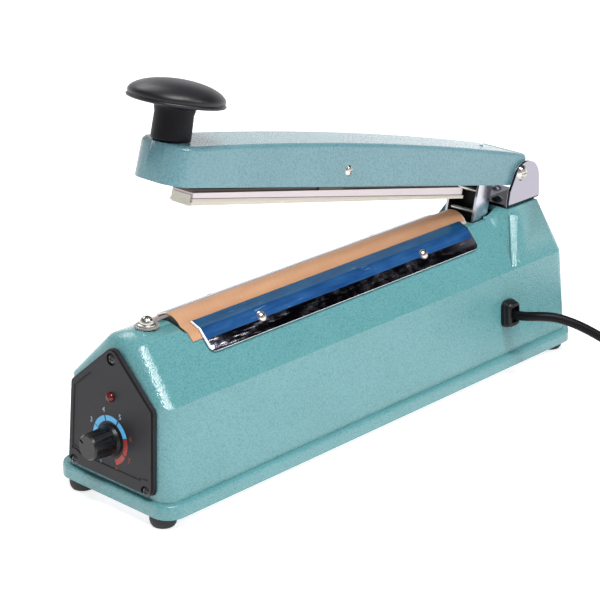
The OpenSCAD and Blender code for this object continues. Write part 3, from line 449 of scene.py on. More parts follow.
finishes = {
    "hammertone": hammertone("tealHammertone", (76, 127, 130), (98, 149, 153)),
    "armTone": hammertone("armHammertone", (80, 118, 126), (101, 140, 148)),
    "plateSteel": brightMetal("zincPlate", (170, 172, 176), 0.34),
    "rubber": plainPlastic("footRubber", (26, 26, 28), 0.62, 0.0006, 0.00004),
    "panel": plainPlastic("panelCharcoal", (20, 18, 23), 0.46, 0.0005, 0.00003, specular=0.36),
    "blackScrew": plainPlastic("blackedScrew", (38, 38, 42), 0.32, 0.0005, 0.00001, 0.3),
    "lens": clearPlastic("redLens", (110, 14, 16), 0.1, 0.5),
    "knob": plainPlastic("knobPlastic", (12, 12, 14), 0.26, 0.0006, 0.00002, specular=0.45),
    "board": plainPlastic("boardGreen", (38, 92, 58), 0.4),
    "core": brightMetal("coreLaminations", (120, 118, 116), 0.5),
    "winding": plainPlastic("windingTape", (196, 160, 70), 0.4),
    "plunger": plainPlastic("plungerRed", (150, 40, 34), 0.4),
    "aluminium": pressChannel("pressAluminium", (198, 189, 191), (204, 192, 182)),
    "insulation": plainPlastic("bedInsulation", (150, 120, 90), 0.7),
    "ribbon": brightMetal("ribbonMetal", (176, 172, 170), 0.26, (0.05, 1, 1)),
    "washer": clearPlastic("clearWasher", (228, 226, 218), 0.22, 0.75),
    "nickel": brightMetal("nickelPlate", (196, 192, 186), 0.14),
    "plate": brightMetal("coverPlateMirror", (196, 196, 204), 0.05, (0.05, 1, 1)),
    "lever": twoTone("leverPlate", (196, 196, 206), (14, 14, 16), 0.0087),
    "bracket": bracketSteel("bracketPlate", (157, 154, 164), (60, 60, 66), 0.0912),
    "spring": brightMetal("springWire", (150, 150, 152), 0.3),
    "cap": handlePlastic("handleBlack", 0.1362),
    "carrier": plainPlastic("carrierBrown", (88, 72, 60), 0.5),
    "silicone": plainPlastic("siliconeWhite", (214, 207, 193), 0.6, 0.0007, 0.00003),
    "sheath": leadSheath("leadSheath"),
    "deckScrew": brightMetal("deckScrewSteel", (120, 118, 126), 0.25),
    "groove": plainPlastic("grooveShadow", (12, 12, 14), 0.6),
    "cloth": releaseCloth("releaseCloth"),
}

nodeFinish = {
    "base_housing": "hammertone", "sealing_arm": "armTone", "bottom_plate": "plateSteel",
    "bottom_screws": "nickel", "rubber_feet": "rubber", "foot_screws": "nickel",
    "control_panel": "panel", "panel_screws": "blackScrew", "indicator_lamp": "lens",
    "timer_knob": "knob", "timer_potentiometer": "plateSteel", "timer_board": "board",
    "transformer_core": "core", "transformer_coil": "winding", "microswitch": "blackScrew",
    "switch_plunger": "plunger", "seal_bed": "aluminium", "bed_insulation": "insulation",
    "heating_ribbon": "ribbon", "terminal_washers": "washer", "terminal_screws": "nickel",
    "release_cloth": "cloth", "cover_plate_near": "plate", "cover_plate_far": "plate",
    "cover_plate_screws": "nickel", "hinge_bracket": "bracket", "bracket_screws": "deckScrew",
    "hinge_pin": "nickel", "spring_hanger": "plateSteel", "return_spring": "spring",
    "hinge_bush": "plateSteel", "lever": "lever", "lever_pins": "nickel", "handle": "cap",
    "handle_screw": "nickel", "bar_pivot_screw": "nickel", "bar_carrier": "carrier",
    "press_bar": "aluminium", "sealing_rubber": "silicone", "cord_bush": "blackScrew",
    "mains_lead": "sheath", "lead_coil": "sheath", "mains_plug": "blackScrew",
}
for nodeName, finishName in nodeFinish.items():
    mesh = nodes[nodeName].data
    mesh.materials.clear()
    mesh.materials.append(finishes[finishName])
leadPiece.data.materials.append(finishes["sheath"])
print("finishes on")


# modelling helpers

def editMode(piece, mode="FACE"):
    makeActive(piece)
    bpy.ops.object.mode_set(mode="EDIT")
    bpy.ops.mesh.select_mode(type=mode)


def objectMode():
    bpy.ops.object.mode_set(mode="OBJECT")


def pick(piece, test, mode="FACE"):
    # selects in edit mode the faces, edges or points whose middle passes the test
    mesh = bmesh.from_edit_mesh(piece.data)
    for group in (mesh.verts, mesh.edges, mesh.faces):
        for part in group:
            part.select = False
    group = {"FACE": mesh.faces, "EDGE": mesh.edges, "VERT": mesh.verts}[mode]
    for part in group:
        if mode == "FACE":
            middle, normal = part.calc_center_median(), part.normal
        elif mode == "EDGE":
            middle = (part.verts[0].co + part.verts[1].co) / 2
            normal = part.verts[1].co - part.verts[0].co
        else:
            middle, normal = part.co, part.normal
        if test(middle, normal):
            part.select = True
    mesh.select_flush_mode()
    bmesh.update_edit_mesh(piece.data)


def finishModifier(piece, kind, **settings):
    makeActive(piece)
    modifier = piece.modifiers.new("shape", kind)
    for name, value in settings.items():
        setattr(modifier, name, value)
    bpy.ops.object.modifier_apply(modifier=modifier.name)


def settle(piece, place=None):
    # the piece's place goes into its mesh, its object back to the origin
    if place is None:
        place = piece.matrix_basis.copy()
    piece.data.transform(place)
    piece.matrix_basis = Matrix.Identity(4)
    if place.determinant() < 0:
        piece.data.flip_normals()
    piece.data.update()


def dress(piece, name, body, finish, smooth=None):
    piece.name = name
    piece.data.name = name
    piece.data.materials.clear()
    piece.data.materials.append(finish)
    if smooth is not None:
        makeActive(piece)
        bpy.ops.object.shade_smooth_by_angle(angle=math.radians(smooth))
    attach(piece, body)
    return piece


def faceUp(piece):
    if piece.data.polygons[0].normal.z < 0:
        piece.data.flip_normals()


def joined(pieces):
    deselectAll()
    for piece in pieces:
        piece.select_set(True)
    bpy.context.view_layer.objects.active = pieces[0]
    if len(pieces) > 1:
        bpy.ops.object.join()
    return active()


def lathe(rings, points=64):
    # a turned solid about Z: each ring is a radius and a height
    deselectAll()
    radius, height = rings[0]
    bpy.ops.mesh.primitive_circle_add(vertices=points, radius=radius, location=(0, 0, 0),
                                      fill_type="NOTHING")
    piece = active()
    editMode(piece, "EDGE")
    bpy.ops.mesh.select_all(action="SELECT")
    bpy.ops.transform.translate(value=(0, 0, height))
    for (last, lastHeight), (radius, height) in zip(rings, rings[1:]):
        bpy.ops.mesh.extrude_edges_move(
            TRANSFORM_OT_translate={"value": (0, 0, height - lastHeight)})
        bpy.ops.transform.resize(value=(radius / last, radius / last, 1),
                                 center_override=(0, 0, height))
    bpy.ops.mesh.select_all(action="SELECT")
    bpy.ops.mesh.fill_holes(sides=points)
    bpy.ops.mesh.normals_make_consistent(inside=False)
    objectMode()
    return piece


def box(low, high):
    bpy.ops.mesh.primitive_cube_add(size=1)
    piece = active()
    low, high = Vector(low), Vector(high)
    editMode(piece)
    bpy.ops.mesh.select_all(action="SELECT")
    bpy.ops.transform.resize(value=high - low)
    bpy.ops.transform.translate(value=(low + high) / 2)
    objectMode()
    return piece


def cutWith(piece, cutters):
    for cutter in cutters:
        finishModifier(piece, "BOOLEAN", operation="DIFFERENCE", solver="EXACT", object=cutter)
        bpy.data.objects.remove(cutter)


def copyOf(nodeName):
    # a merged copy of a CAD node's mesh, to shape further
    piece = bpy.data.objects.new(nodeName + "Copy", nodes[nodeName].data.copy())
    scene.collection.objects.link(piece)
    editMode(piece, "VERT")
    bpy.ops.mesh.select_all(action="SELECT")
    bpy.ops.mesh.remove_doubles(threshold=0.000002)
    bpy.ops.mesh.dissolve_limited(angle_limit=math.radians(0.4))
    objectMode()
    return piece


def domeRings(radius, height, steps=7):
    # a low dome over a disc
    ball = (radius ** 2 + height ** 2) / (2 * height)
    rings = [(radius, 0)]
    for step in range(1, steps + 1):
        across = radius * (1 - step / (steps + 0.6))
        rings.append((across, height - ball + math.sqrt(ball ** 2 - across ** 2)))
    return rings


def crossHead(radius, height, slot, depth, rings=None):
    # a screw head with a cross recess, standing on z = 0
    head = lathe(rings or [(radius, -0.0002), *domeRings(radius, height)], 40)
    arm = radius * 0.56
    cutters = [box((-arm, -slot / 2, height - depth), (arm, slot / 2, height + 0.002)),
               box((-slot / 2, -arm, height - depth), (slot / 2, arm, height + 0.002))]
    cutWith(head, cutters)
    return head


# the open arm's frame, from its shut one
armFrame = (Matrix.Translation(pivot) @ Matrix.Rotation(armOpen, 4, "Y")
            @ Matrix.Translation(-pivot))

# the panel's own frame: right, up and out of its face, from the dial's axis
lean = math.radians(3.65222)
panelFrame = Matrix((
    (0, math.sin(lean), -math.cos(lean), -0.149117),
    (-1, 0, 0, 0),
    (0, math.cos(lean), math.sin(lean), 0.037),
    (0, 0, 0, 1)))


# dial print

dial = {
    "level": 0.0026,         # the label field, out from the wall
    "ink": 0.00005,          # thickness of the print
    "arcLift": 0.00001, "numberLift": 0.00004,
    "outer": 0.0123,
    "inner": 0.0096,
    "numbersAt": 0.0151,
    "numberSize": 0.0038,
    "first": -65.0,          # degrees from the left, clockwise
    "step": 45.2,
    "arcs": {"dialArcBlue": (3, 160, "dialBlue"), "dialArcRed": (162, 247, "dialRed")},
    "ticks": (25, 70, 116, 161, 206), "tickHalf": 1.2,
    "lastCool": 5,           # the numbers after this one are red
}


def dialPoint(degrees, radius):
    angle = math.radians(degrees)
    return (-math.cos(angle) * radius, math.sin(angle) * radius)


def inkPrint(name, tone, far=None):
    ink = Finish(name)
    speck = ink.here.noise(0.0005, 3)
    _, side, up = ink.here.parts()
    fade = (up * -1 + side * -0.4).step(-0.040, -0.022)
    first, last = srgb(*tone), srgb(*(far or tone))
    ink.surface(colour=fade.mix(first, last), rough=0.42 + speck * 0.15)
    ink.bump(speck, 0.00001, 0.5)
    return ink.material


def buildDial():
    finishes["dialBlue"] = inkPrint("dialBlue", (84, 172, 222), (60, 140, 205))
    finishes["dialRed"] = inkPrint("dialRed", (138, 34, 26), (150, 44, 26))
    finishes["dialWhite"] = inkPrint("dialNumbers", (150, 170, 186))
    for name, (start, end, finish) in dial["arcs"].items():
        bpy.ops.mesh.primitive_circle_add(vertices=180, radius=dial["outer"], fill_type="NOTHING")
        arc = active()
        editMode(arc, "EDGE")
        bpy.ops.mesh.select_all(action="SELECT")
        bpy.ops.mesh.extrude_edges_move()
        inner = dial["inner"] / dial["outer"]
        bpy.ops.transform.resize(value=(inner, inner, 1))

        def outside(middle, normal):
            degrees = math.degrees(math.atan2(middle.y, -middle.x)) % 360
            if not start <= degrees <= end:
                return True
            return any(abs(degrees - tick) < dial["tickHalf"] for tick in dial["ticks"])

        pick(arc, outside)
        bpy.ops.mesh.delete(type="FACE")
        bpy.ops.mesh.select_all(action="SELECT")
        bpy.ops.mesh.normals_make_consistent(inside=False)
        objectMode()
        faceUp(arc)
        finishModifier(arc, "SOLIDIFY", thickness=dial["ink"], offset=1)
        settle(arc, panelFrame @ Matrix.Translation((0, 0, dial["level"] + dial["arcLift"])))
        dress(arc, name, "base", finishes[finish])
    digits = [[], []]
    for number in range(1, 9):
        across, up = dialPoint(dial["first"] + dial["step"] * (number - 1), dial["numbersAt"])
        bpy.ops.object.text_add()
        digit = active()
        digit.data.body = str(number)
        digit.data.size = dial["numberSize"]
        digit.data.align_x = "CENTER"
        digit.data.align_y = "CENTER"
        digit.data.extrude = dial["ink"] / 2
        digit.data.resolution_u = 3
        bpy.ops.object.convert(target="MESH")
        digit = active()
        lift = dial["level"] + dial["numberLift"]
        settle(digit, panelFrame @ Matrix.Translation((across, up, lift)))
        digits[number > dial["lastCool"]].append(digit)
    dress(joined(digits[0]), "dialNumbers", "base", finishes["dialWhite"])
    dress(joined(digits[1]), "dialHotNumbers", "base", finishes["dialRed"])


buildDial()
print("dial printed")


# cover plates and their protective film

plates = {
    "start": -0.105755, "end": 0.097245,
    "lip": 0.0063,           # width of the leaf over the bed
    "leaf": 0.0133,          # height of the leaf down the flank
    "thickness": 0.0008,
    "corner": 0.0036,
    "fold": 0.0004,          # half the width of the bend
    "foldAt": (0.0014, 0.0016),     # down the flank and out from it
    "round": 0.00012,        # of the cut edges
    "frontEdgeHighlight": 0.0009,
    "filmShort": 0.0018,
    "filmIn": 0.0002,
    "filmDrop": 0.0063,      # how far the film runs below the bend
    "filmClear": 0.00004,
    "filmThickness": 0.00006,
}
flank = math.radians(46.8476)
flankTop = (0.0125, 0.085)      # out from the middle plane, and height
lipSlope = math.radians(20)


def onFlank(down, out):
    # how far from the middle plane, and how high, on the base's sloping side
    return (flankTop[0] + down * math.cos(flank) + out * math.sin(flank),
            flankTop[1] - down * math.sin(flank) + out * math.cos(flank))


def foldedPoint(across, out):
    # across runs from the lip's edge over the bend and down the leaf
    foldY, foldZ = onFlank(*plates["foldAt"])
    bend = min(max((across - plates["lip"] + plates["fold"]) / (2 * plates["fold"]), 0), 1)
    if across <= plates["lip"]:
        back = plates["lip"] - across
        y, z = foldY - back * math.cos(lipSlope), foldZ + back * math.sin(lipSlope)
    else:
        on = across - plates["lip"]
        y, z = foldY + on * math.cos(flank), foldZ - on * math.sin(flank)
    slope = lipSlope + (flank - lipSlope) * bend
    return y + out * math.sin(slope), z + out * math.cos(slope)


def foldedSheet(length, height, corner, thickness, out, edge, side):
    bpy.ops.mesh.primitive_plane_add(size=1)
    sheet = active()
    editMode(sheet, "VERT")
    bpy.ops.mesh.select_all(action="SELECT")
    bpy.ops.transform.resize(value=(length, height, 1))
    bpy.ops.transform.translate(value=(0, -height / 2, 0))
    if corner:
        pick(sheet, lambda middle, normal: middle.y < -height * 0.9, "VERT")
        bpy.ops.mesh.bevel(offset=corner, segments=7, affect="VERTICES")
    for line in (-1, -0.5, 0, 0.5, 1):
        bpy.ops.mesh.select_all(action="SELECT")
        bpy.ops.mesh.bisect(plane_co=(0, -plates["lip"] + plates["fold"] * line, 0),
                            plane_no=(0, 1, 0))
    objectMode()
    middle = (plates["start"] + plates["end"]) / 2
    for vertex in sheet.data.vertices:
        y, z = foldedPoint(-vertex.co.y + edge, out)
        vertex.co = (middle + vertex.co.x, side * y, z)
    faceUp(sheet)
    finishModifier(sheet, "SOLIDIFY", thickness=thickness, offset=-1 if edge == 0 else 1)
    return sheet


def filmFinish():
    sheet = Finish("blueFilm")
    _, _, up = sheet.here.parts()
    haze = sheet.here.place(scale=(0.25, 1, 1)).noise(0.004, 3)
    streak = sheet.here.place(scale=(0.04, 1, 1)).noise(0.0011, 2)
    # the lip over the bed is painted darker than the leaf: painted shade on one film
    level = up.step(0.0835, 0.0862)
    deep = (haze * 0.7 + streak * 0.3).step(0.25, 0.8).mix(srgb(26, 68, 124), srgb(46, 97, 152))
    shadedLip = (haze * 0.6 + streak * 0.4).step(0.25, 0.8).mix(srgb(16, 62, 100), srgb(32, 84, 122))
    dust = sheet.here.noise(0.0011, 2, 0.8).step(0.7, 0.78)
    scratch = sheet.here.place(turn=(0.4, 0, 0.8), scale=(0.05, 1, 1)).noise(0.0008, 2)
    dust = dust.highest(scratch.step(0.66, 0.72) * sheet.here.noise(0.012, 2).step(0.5, 0.62))
    sheet.surface(colour=(dust * 0.5).mix(level.mix(deep, shadedLip), srgb(150, 176, 206)), metal=0.3,
                  rough=0.14 + haze * 0.14, specular=0.6)
    sheet.bump(haze * 0.7 + streak * 0.3, 0.00003, 0.5)
    return sheet.material


def plateFinish():
    # mirror steel with smears; its cut edges are rougher and painted bright as a painted
    # highlight
    metal = Finish("coverPlateLeaf")
    along, _, up = metal.here.parts()
    smear = metal.here.place(scale=(0.5, 1, 1)).noise(0.009, 4, 0.75).step(0.45, 0.75)
    streak = metal.here.place(turn=(0, 0, 0.5), scale=(0.12, 1, 1)).noise(0.0016, 2)
    streak = streak.step(0.55, 0.75)
    down, out = plates["foldAt"]
    _, lowest = onFlank(down + plates["leaf"] - plates["round"], out)
    # the front and lower cut edges: painted highlight
    edge = (along < plates["start"] + plates["frontEdgeHighlight"]).highest(up < lowest)
    colour = edge.mix((smear * 0.5 + streak * 0.4).mix(srgb(116, 116, 126), srgb(150, 150, 160)),
                      srgb(236, 240, 244))
    metal.surface(colour=colour, metal=1 - edge * 0.7 - (smear * 0.14 + streak * smear * 0.2),
                  rough=0.05 + (smear * 0.2 + streak * 0.2) + edge * 0.3)
    metal.bump(smear, 0.000008, 0.4)
    return metal.material


def buildPlates():
    finishes["film"] = filmFinish()
    finishes["plateLeaf"] = plateFinish()
    length = plates["end"] - plates["start"]
    for word, side in (("Near", -1), ("Far", 1)):
        plate = foldedSheet(length, plates["lip"] + plates["leaf"], plates["corner"],
                            plates["thickness"], 0, 0, side)
        finishModifier(plate, "BEVEL", width=plates["round"], segments=2, limit_method="ANGLE",
                       angle_limit=math.radians(60))
        dress(plate, "coverPlate" + word, "base", finishes["plateLeaf"], 30)
        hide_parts("cover_plate_" + word.lower())
        film = foldedSheet(length - plates["filmShort"],
                           plates["lip"] + plates["filmDrop"] - plates["filmIn"], 0,
                           plates["filmThickness"], plates["filmClear"], plates["filmIn"], side)
        dress(film, "plateFilm" + word, "base", finishes["film"], 30)


buildPlates()
print("cover plates folded")


# cover plate screws

plateScrew = {
    "at": (-0.066755, 0.056245), "down": 0.0066, "out": 0.0016, "turned": 0.5,
    "radius": 0.0028, "height": 0.0021, "slot": 0.00055, "deep": 0.0006,
    "rim": 0.0004, "dome": (0.00275, 0.0017), "foot": (0.0026, -0.0002),
}


def flankFrame(x, down, out, side):
    # a screw's frame on the sloping side: its axis points out of the slope
    y, z = onFlank(down, out)
    axis = Vector((0, side * math.sin(flank), math.cos(flank)))
    across = Vector((1, 0, 0))
    up = axis.cross(across)
    turn = Matrix((across, up, axis)).transposed().to_4x4()
    return Matrix.Translation((x, side * y, z)) @ turn


def buildPlateScrews():
    heads = []
    radius, rimHigh = plateScrew["radius"], plateScrew["rim"]
    for x in plateScrew["at"]:
        for side in (-1, 1):
            rings = [plateScrew["foot"], (radius, 0.0), (radius, rimHigh),
                     *[(r, z + rimHigh) for r, z in domeRings(*plateScrew["dome"])[1:]]]
            head = crossHead(radius, plateScrew["height"], plateScrew["slot"],
                             plateScrew["deep"], rings)
            settle(head, flankFrame(x, plateScrew["down"], plateScrew["out"], side)
                   @ Matrix.Rotation(plateScrew["turned"], 4, "Z"))
            heads.append(head)
    screws = dress(joined(heads), "plateScrews", "base", finishes["nickel"], 35)
    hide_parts("cover_plate_screws")


buildPlateScrews()
print("plate screws in")


# release cloth

cloth = {
    "start": -0.112255, "end": 0.102745,
    "flapEnd": 0.0976,       # behind this only the arch goes on
    "bedAxis": 0.0805, "radius": 0.00985,
    "arch": 55,              # degrees either side of the top
    "thickness": 0.0003,
    "onFlank": (0.0012, 0.0022, 0.0034, 0.0048, 0.0062), "off": 0.00035,
    "columns": 86,
    "ripple": 0.00012, "rippleTurn": 190,
}


def clothProfile():
    # points across the cloth from its top to its lower edge, with their distance along it
    points = [(cloth["radius"] * math.sin(math.radians(a)),
               cloth["bedAxis"] + cloth["radius"] * math.cos(math.radians(a)))
              for a in range(0, cloth["arch"] + 1, 5)]
    points += [onFlank(down, cloth["off"]) for down in cloth["onFlank"]]
    lengths = [0.0]
    for first, last in zip(points, points[1:]):
        lengths.append(lengths[-1] + math.dist(first, last))
    return points, lengths


def buildCloth():
    points, lengths = clothProfile()
    rows = len(points) - 1
    archRow = rows - len(cloth["onFlank"])
    bpy.ops.mesh.primitive_grid_add(x_subdivisions=cloth["columns"], y_subdivisions=2 * rows,
                                    size=1)
    sheet = active()
    span = cloth["end"] - cloth["start"]
    for vertex in sheet.data.vertices:
        row = round(vertex.co.y * 2 * rows)
        y, z = points[abs(row)]
        x = cloth["start"] + (vertex.co.x + 0.5) * span
        # the flaps wave a little, more towards their lower edge
        wave = cloth["ripple"] * math.sin(x * cloth["rippleTurn"] + row)
        ripple = wave * max(0, abs(row) - archRow) / (rows - archRow)
        vertex.co = (x, math.copysign(y, row) if row else 0, z + ripple)
    editMode(sheet)
    archEnd = points[archRow][0] + cloth["thickness"]
    pick(sheet, lambda middle, normal: middle.x > cloth["flapEnd"] and abs(middle.y) > archEnd)
    bpy.ops.mesh.delete(type="FACE")
    objectMode()
    faceUp(sheet)
    finishModifier(sheet, "SOLIDIFY", thickness=cloth["thickness"], offset=0)
    dress(sheet, "releaseCloth", "base", finishes["cloth"], 50)
    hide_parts("release_cloth")
    2 * lengths[-1]


buildCloth()
print("cloth on the bed")


# base casting

tower = {
    "x": 0.119745, "top": 0.089,
    "xNear": 0.0004, "topNear": 0.0006, "side": 0.0115,
    "front": 0.127, "corner": 0.0193,    # the front of its top, squared up to the bracket
    "edgeTop": (0.12846, -0.0226, 0.0866),
    "edgeFoot": (0.1148, -0.0347, 0.06205),
    "edgeFacing": (-0.35, -0.781, 0.517), "edgeWide": 0.0058,
    "edgeDeep": 0.004, "edgeTaper": 0.55, "edgeBevel": 0.0006,
}
rim = {
    "middle": 0.006745, "half": (0.16, 0.041), "round": 0.01,
    "step": 0.0125, "low": 0.012, "top": 0.014, "edge": 0.0013,     # the round of its top edge
    "stepNear": 0.00008, "near": 0.0002, "heightNear": 0.0001,
    "rows": 3, "rowsFrom": 0.1, "rowsTo": 0.95,
}


def rimInset(place):
    # how far inside the rim's outline a point lies
    across = Vector((abs(place.x - rim["middle"]) - rim["half"][0] + rim["round"],
                     abs(place.y) - rim["half"][1] + rim["round"]))
    outside = Vector((max(across.x, 0), max(across.y, 0))).length
    return rim["round"] - outside - min(max(across.x, across.y), 0)


def edgeStrip(side):
    # the flat of a casting edge from the bracket's corner down to the shoulder
    top, foot = Vector(tower["edgeTop"]), Vector(tower["edgeFoot"])
    along = (foot - top).normalized()
    facing = Vector(tower["edgeFacing"])
    facing = (facing - along * facing.dot(along)).normalized()
    half, reach = tower["edgeWide"] / 2, (foot - top).length / 2
    strip = box((-half, -reach, -tower["edgeDeep"]), (half, reach, 0))
    for vertex in strip.data.vertices:
        if vertex.co.y > 0:
            vertex.co.x *= tower["edgeTaper"]
    finishModifier(strip, "BEVEL", width=tower["edgeBevel"], segments=3)
    turn = Matrix((along.cross(facing), along, facing)).transposed().to_4x4()
    settle(strip, Matrix.Translation((top + foot) / 2) @ turn)
    if side > 0:
        settle(strip, Matrix.Scale(-1, 4, (0, 1, 0)))
    return strip


def roundRim(piece):
    # the stepped top edge becomes one soft round all the way along
    low, top, edge, near = (rim[word] for word in ("low", "top", "edge", "near"))
    step = rim["heightNear"]
    editMode(piece, "VERT")
    pick(piece, lambda place, normal: near < rimInset(place) < edge + near
         and low - step < place.z < top - step, "VERT")
    bpy.ops.mesh.delete(type="VERT")
    bpy.ops.mesh.select_mode(type="EDGE")
    bpy.ops.mesh.select_all(action="DESELECT")
    bpy.ops.mesh.select_non_manifold(extend=False)
    bpy.ops.mesh.bridge_edge_loops(number_cuts=rim["rows"])
    objectMode()
    for vertex in piece.data.vertices:
        share = rimInset(vertex.co) / edge
        if rim["rowsFrom"] < share < rim["rowsTo"] and low < vertex.co.z < top:
            vertex.co.z = low + (top - low) * math.sqrt(share * (2 - share))


def buildBase():
    piece = copyOf("base_housing")
    for vertex in piece.data.vertices:
        place = vertex.co
        onFront = abs(place.x - tower["x"]) < tower["xNear"]
        if onFront and place.z > tower["top"] - tower["topNear"]:
            place.x = tower["front"]
            if abs(place.y) > tower["side"]:
                place.y = math.copysign(tower["corner"], place.y)
        if abs(place.z - rim["step"]) < rim["stepNear"] and rimInset(place) < rim["near"]:
            place.z = rim["low"]
    roundRim(piece)
    for side in (-1, 1):
        strip = edgeStrip(side)
        finishModifier(piece, "BOOLEAN", operation="UNION", solver="EXACT", object=strip)
        bpy.data.objects.remove(strip)
    dress(piece, "baseShell", "base", finishes["hammertone"], 31)
    finishModifier(piece, "WEIGHTED_NORMAL", keep_sharp=True, weight=60)
    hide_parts("base_housing")


buildBase()
print("base shaped")


# sealing arm

armShape = {
    "low": 0.1003, "height": 0.022,
    "noseX": -0.127755, "noseDepth": 0.012, "noseBack": 0.0017,
    "fallFrom": 0.124245, "fall": 12.0, "fallAbove": 0.011,
    "fillet": 0.0026, "filletAbove": 0.014, "filletSide": 0.0128, "filletEnds": (-0.11, 0.14),
    "half": 0.017, "sideFrom": 0.009,
    "noseRound": 0.024, "noseBlend": 0.0045, "noseFlare": 0.0007, "noseSlack": 0.006,
    "slices": (0.0012, 0.0024, 0.0038, 0.0054),     # behind the nose's corner
    "thinnest": 0.001,
    "handleX": -0.117255, "handleReach": 0.0102,
    "pimple": [(0.0011, -0.0006), (0.0011, 0), (0.0009, 0.0004), (0.0004, 0.0006)],
    "pimpleX": 0.123, "pimpleDown": 0.0033,
}


def noseNarrowing(x):
    # how much the sides draw in where the round nose runs into them, for a soft corner
    half, blend = armShape["half"], armShape["noseBlend"]
    reach = x - armShape["noseX"] - armShape["noseRound"]
    circle = math.sqrt(max(armShape["noseRound"] ** 2 - reach ** 2, 0)) if reach < 0 else 1
    mixed = max(blend - abs(circle - half), 0) / blend
    return (min(circle, half) - mixed ** 2 * blend / 4) / max(min(circle, half),
                                                                    armShape["thinnest"])


def buildArm():
    piece = copyOf("sealing_arm")
    piece.data.transform(armFrame.inverted())
    editMode(piece)
    corner = armShape["noseX"] + armShape["noseRound"] \
        - math.sqrt(armShape["noseRound"] ** 2 - armShape["half"] ** 2)
    for step in armShape["slices"]:
        bpy.ops.mesh.select_all(action="SELECT")
        bpy.ops.mesh.bisect(plane_co=(corner + step, 0, 0), plane_no=(1, 0, 0))
    objectMode()
    for vertex in piece.data.vertices:
        place = vertex.co
        rise = min(max((place.z - armShape["low"]) / armShape["height"], 0), 1)
        ahead = (armShape["noseX"] + armShape["noseDepth"] - place.x) / armShape["noseDepth"]
        if place.x < corner + armShape["noseSlack"] and abs(place.y) > armShape["sideFrom"]:
            place.y *= noseNarrowing(place.x)
        if ahead > 0:
            place.x += armShape["noseBack"] * rise * ahead \
                - armShape["noseFlare"] * (1 - rise) ** 8 * ahead
        # the solid's top falls away at the rear: here it stays level
        behind = place.x - armShape["fallFrom"]
        if behind > 0 and place.z > armShape["low"] + armShape["fallAbove"]:
            place.z += armShape["fall"] * behind ** 2
    editMode(piece, "EDGE")
    mesh = bmesh.from_edit_mesh(piece.data)
    frontEnd, rearEnd = armShape["filletEnds"]
    for edge in mesh.edges:
        edge.select = False
        if len(edge.link_faces) != 2:
            continue
        first, last = sorted((face.normal.z for face in edge.link_faces), reverse=True)
        middle = (edge.verts[0].co + edge.verts[1].co) / 2
        fromHandle = math.hypot(middle.x - armShape["handleX"], middle.y)
        aboveSides = middle.z > armShape["low"] + armShape["filletAbove"]
        if first > 0.8 and -0.2 < last < 0.5 and aboveSides:
            edge.select = fromHandle >= armShape["handleReach"] \
                and (abs(middle.y) > armShape["filletSide"] or middle.x < frontEnd
                     or middle.x > rearEnd)
    mesh.select_flush_mode()
    bmesh.update_edit_mesh(piece.data)
    bpy.ops.mesh.bevel(offset=armShape["fillet"], segments=5, affect="EDGES",
                       offset_type="OFFSET")
    bpy.ops.mesh.select_all(action="SELECT")
    bpy.ops.mesh.normals_make_consistent(inside=False)
    objectMode()
    pimple = lathe(armShape["pimple"], 16)
    top = armShape["low"] + armShape["height"]
    settle(pimple, Matrix.Translation((armShape["pimpleX"], 0, top - armShape["pimpleDown"])))
    piece = joined([piece, pimple])
    settle(piece, armFrame)
    dress(piece, "armShell", "arm", finishes["armTone"], 50)
    finishModifier(piece, "WEIGHTED_NORMAL", keep_sharp=True, weight=60)
    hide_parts("sealing_arm")


buildArm()
print("arm shaped")


# handle

handle = {
    "x": -0.117255, "seat": 0.11995,
    "stem": 0.0097, "cap": 0.0238, "height": 0.0284, "points": 96,
    "foot": [(-0.0004, 0), (-0.0001, 0.0002), (0, 0.0007)],     # out from the stem, and up
    # out from the stem or the cap, and down from the top
    "neck": (-0.00025, 0.016),
    "cove": 0.0026, "coveAt": (0.0002, 0.0142),
    "lip": [(-0.0045, 0.0111), (-0.0012, 0.0107), (-0.0003, 0.0104), (0, 0.0099),
            (-0.0001, 0.0094), (-0.0008, 0.0090), (-0.0006, 0.0086)],
    "domeIn": 0.0003, "dome": 0.0082, "domeSteps": 13, "domeTurn": 6.6,
    "tip": (0.0006, 0.00001),
}


def buildHandle():
    stem, cap, height = handle["stem"], handle["cap"], handle["height"]
    rings = [(stem + out, up) for out, up in handle["foot"]]
    out, down = handle["neck"]
    rings.append((stem + out, height - down))
    out, down = handle["coveAt"]
    for angle in range(0, 91, 15):
        turn = math.radians(angle)
        rings.append((stem + out + handle["cove"] * (1 - math.cos(turn)),
                      height - down + handle["cove"] * math.sin(turn)))
    rings += [(cap + out, height - down) for out, down in handle["lip"]]
    for step in range(1, handle["domeSteps"] + 1):
        turn = math.radians(step * handle["domeTurn"])
        rings.append(((cap - handle["domeIn"]) * math.cos(turn),
                      height - handle["dome"] + handle["dome"] * math.sin(turn)))
    radius, down = handle["tip"]
    rings.append((radius, height - down))
    knob = lathe(rings, handle["points"])
    settle(knob, armFrame @ Matrix.Translation((handle["x"], 0, handle["seat"])))
    dress(knob, "pressHandle", "arm", finishes["cap"], 50)
    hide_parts("handle")


buildHandle()
print("handle turned")


# terminals

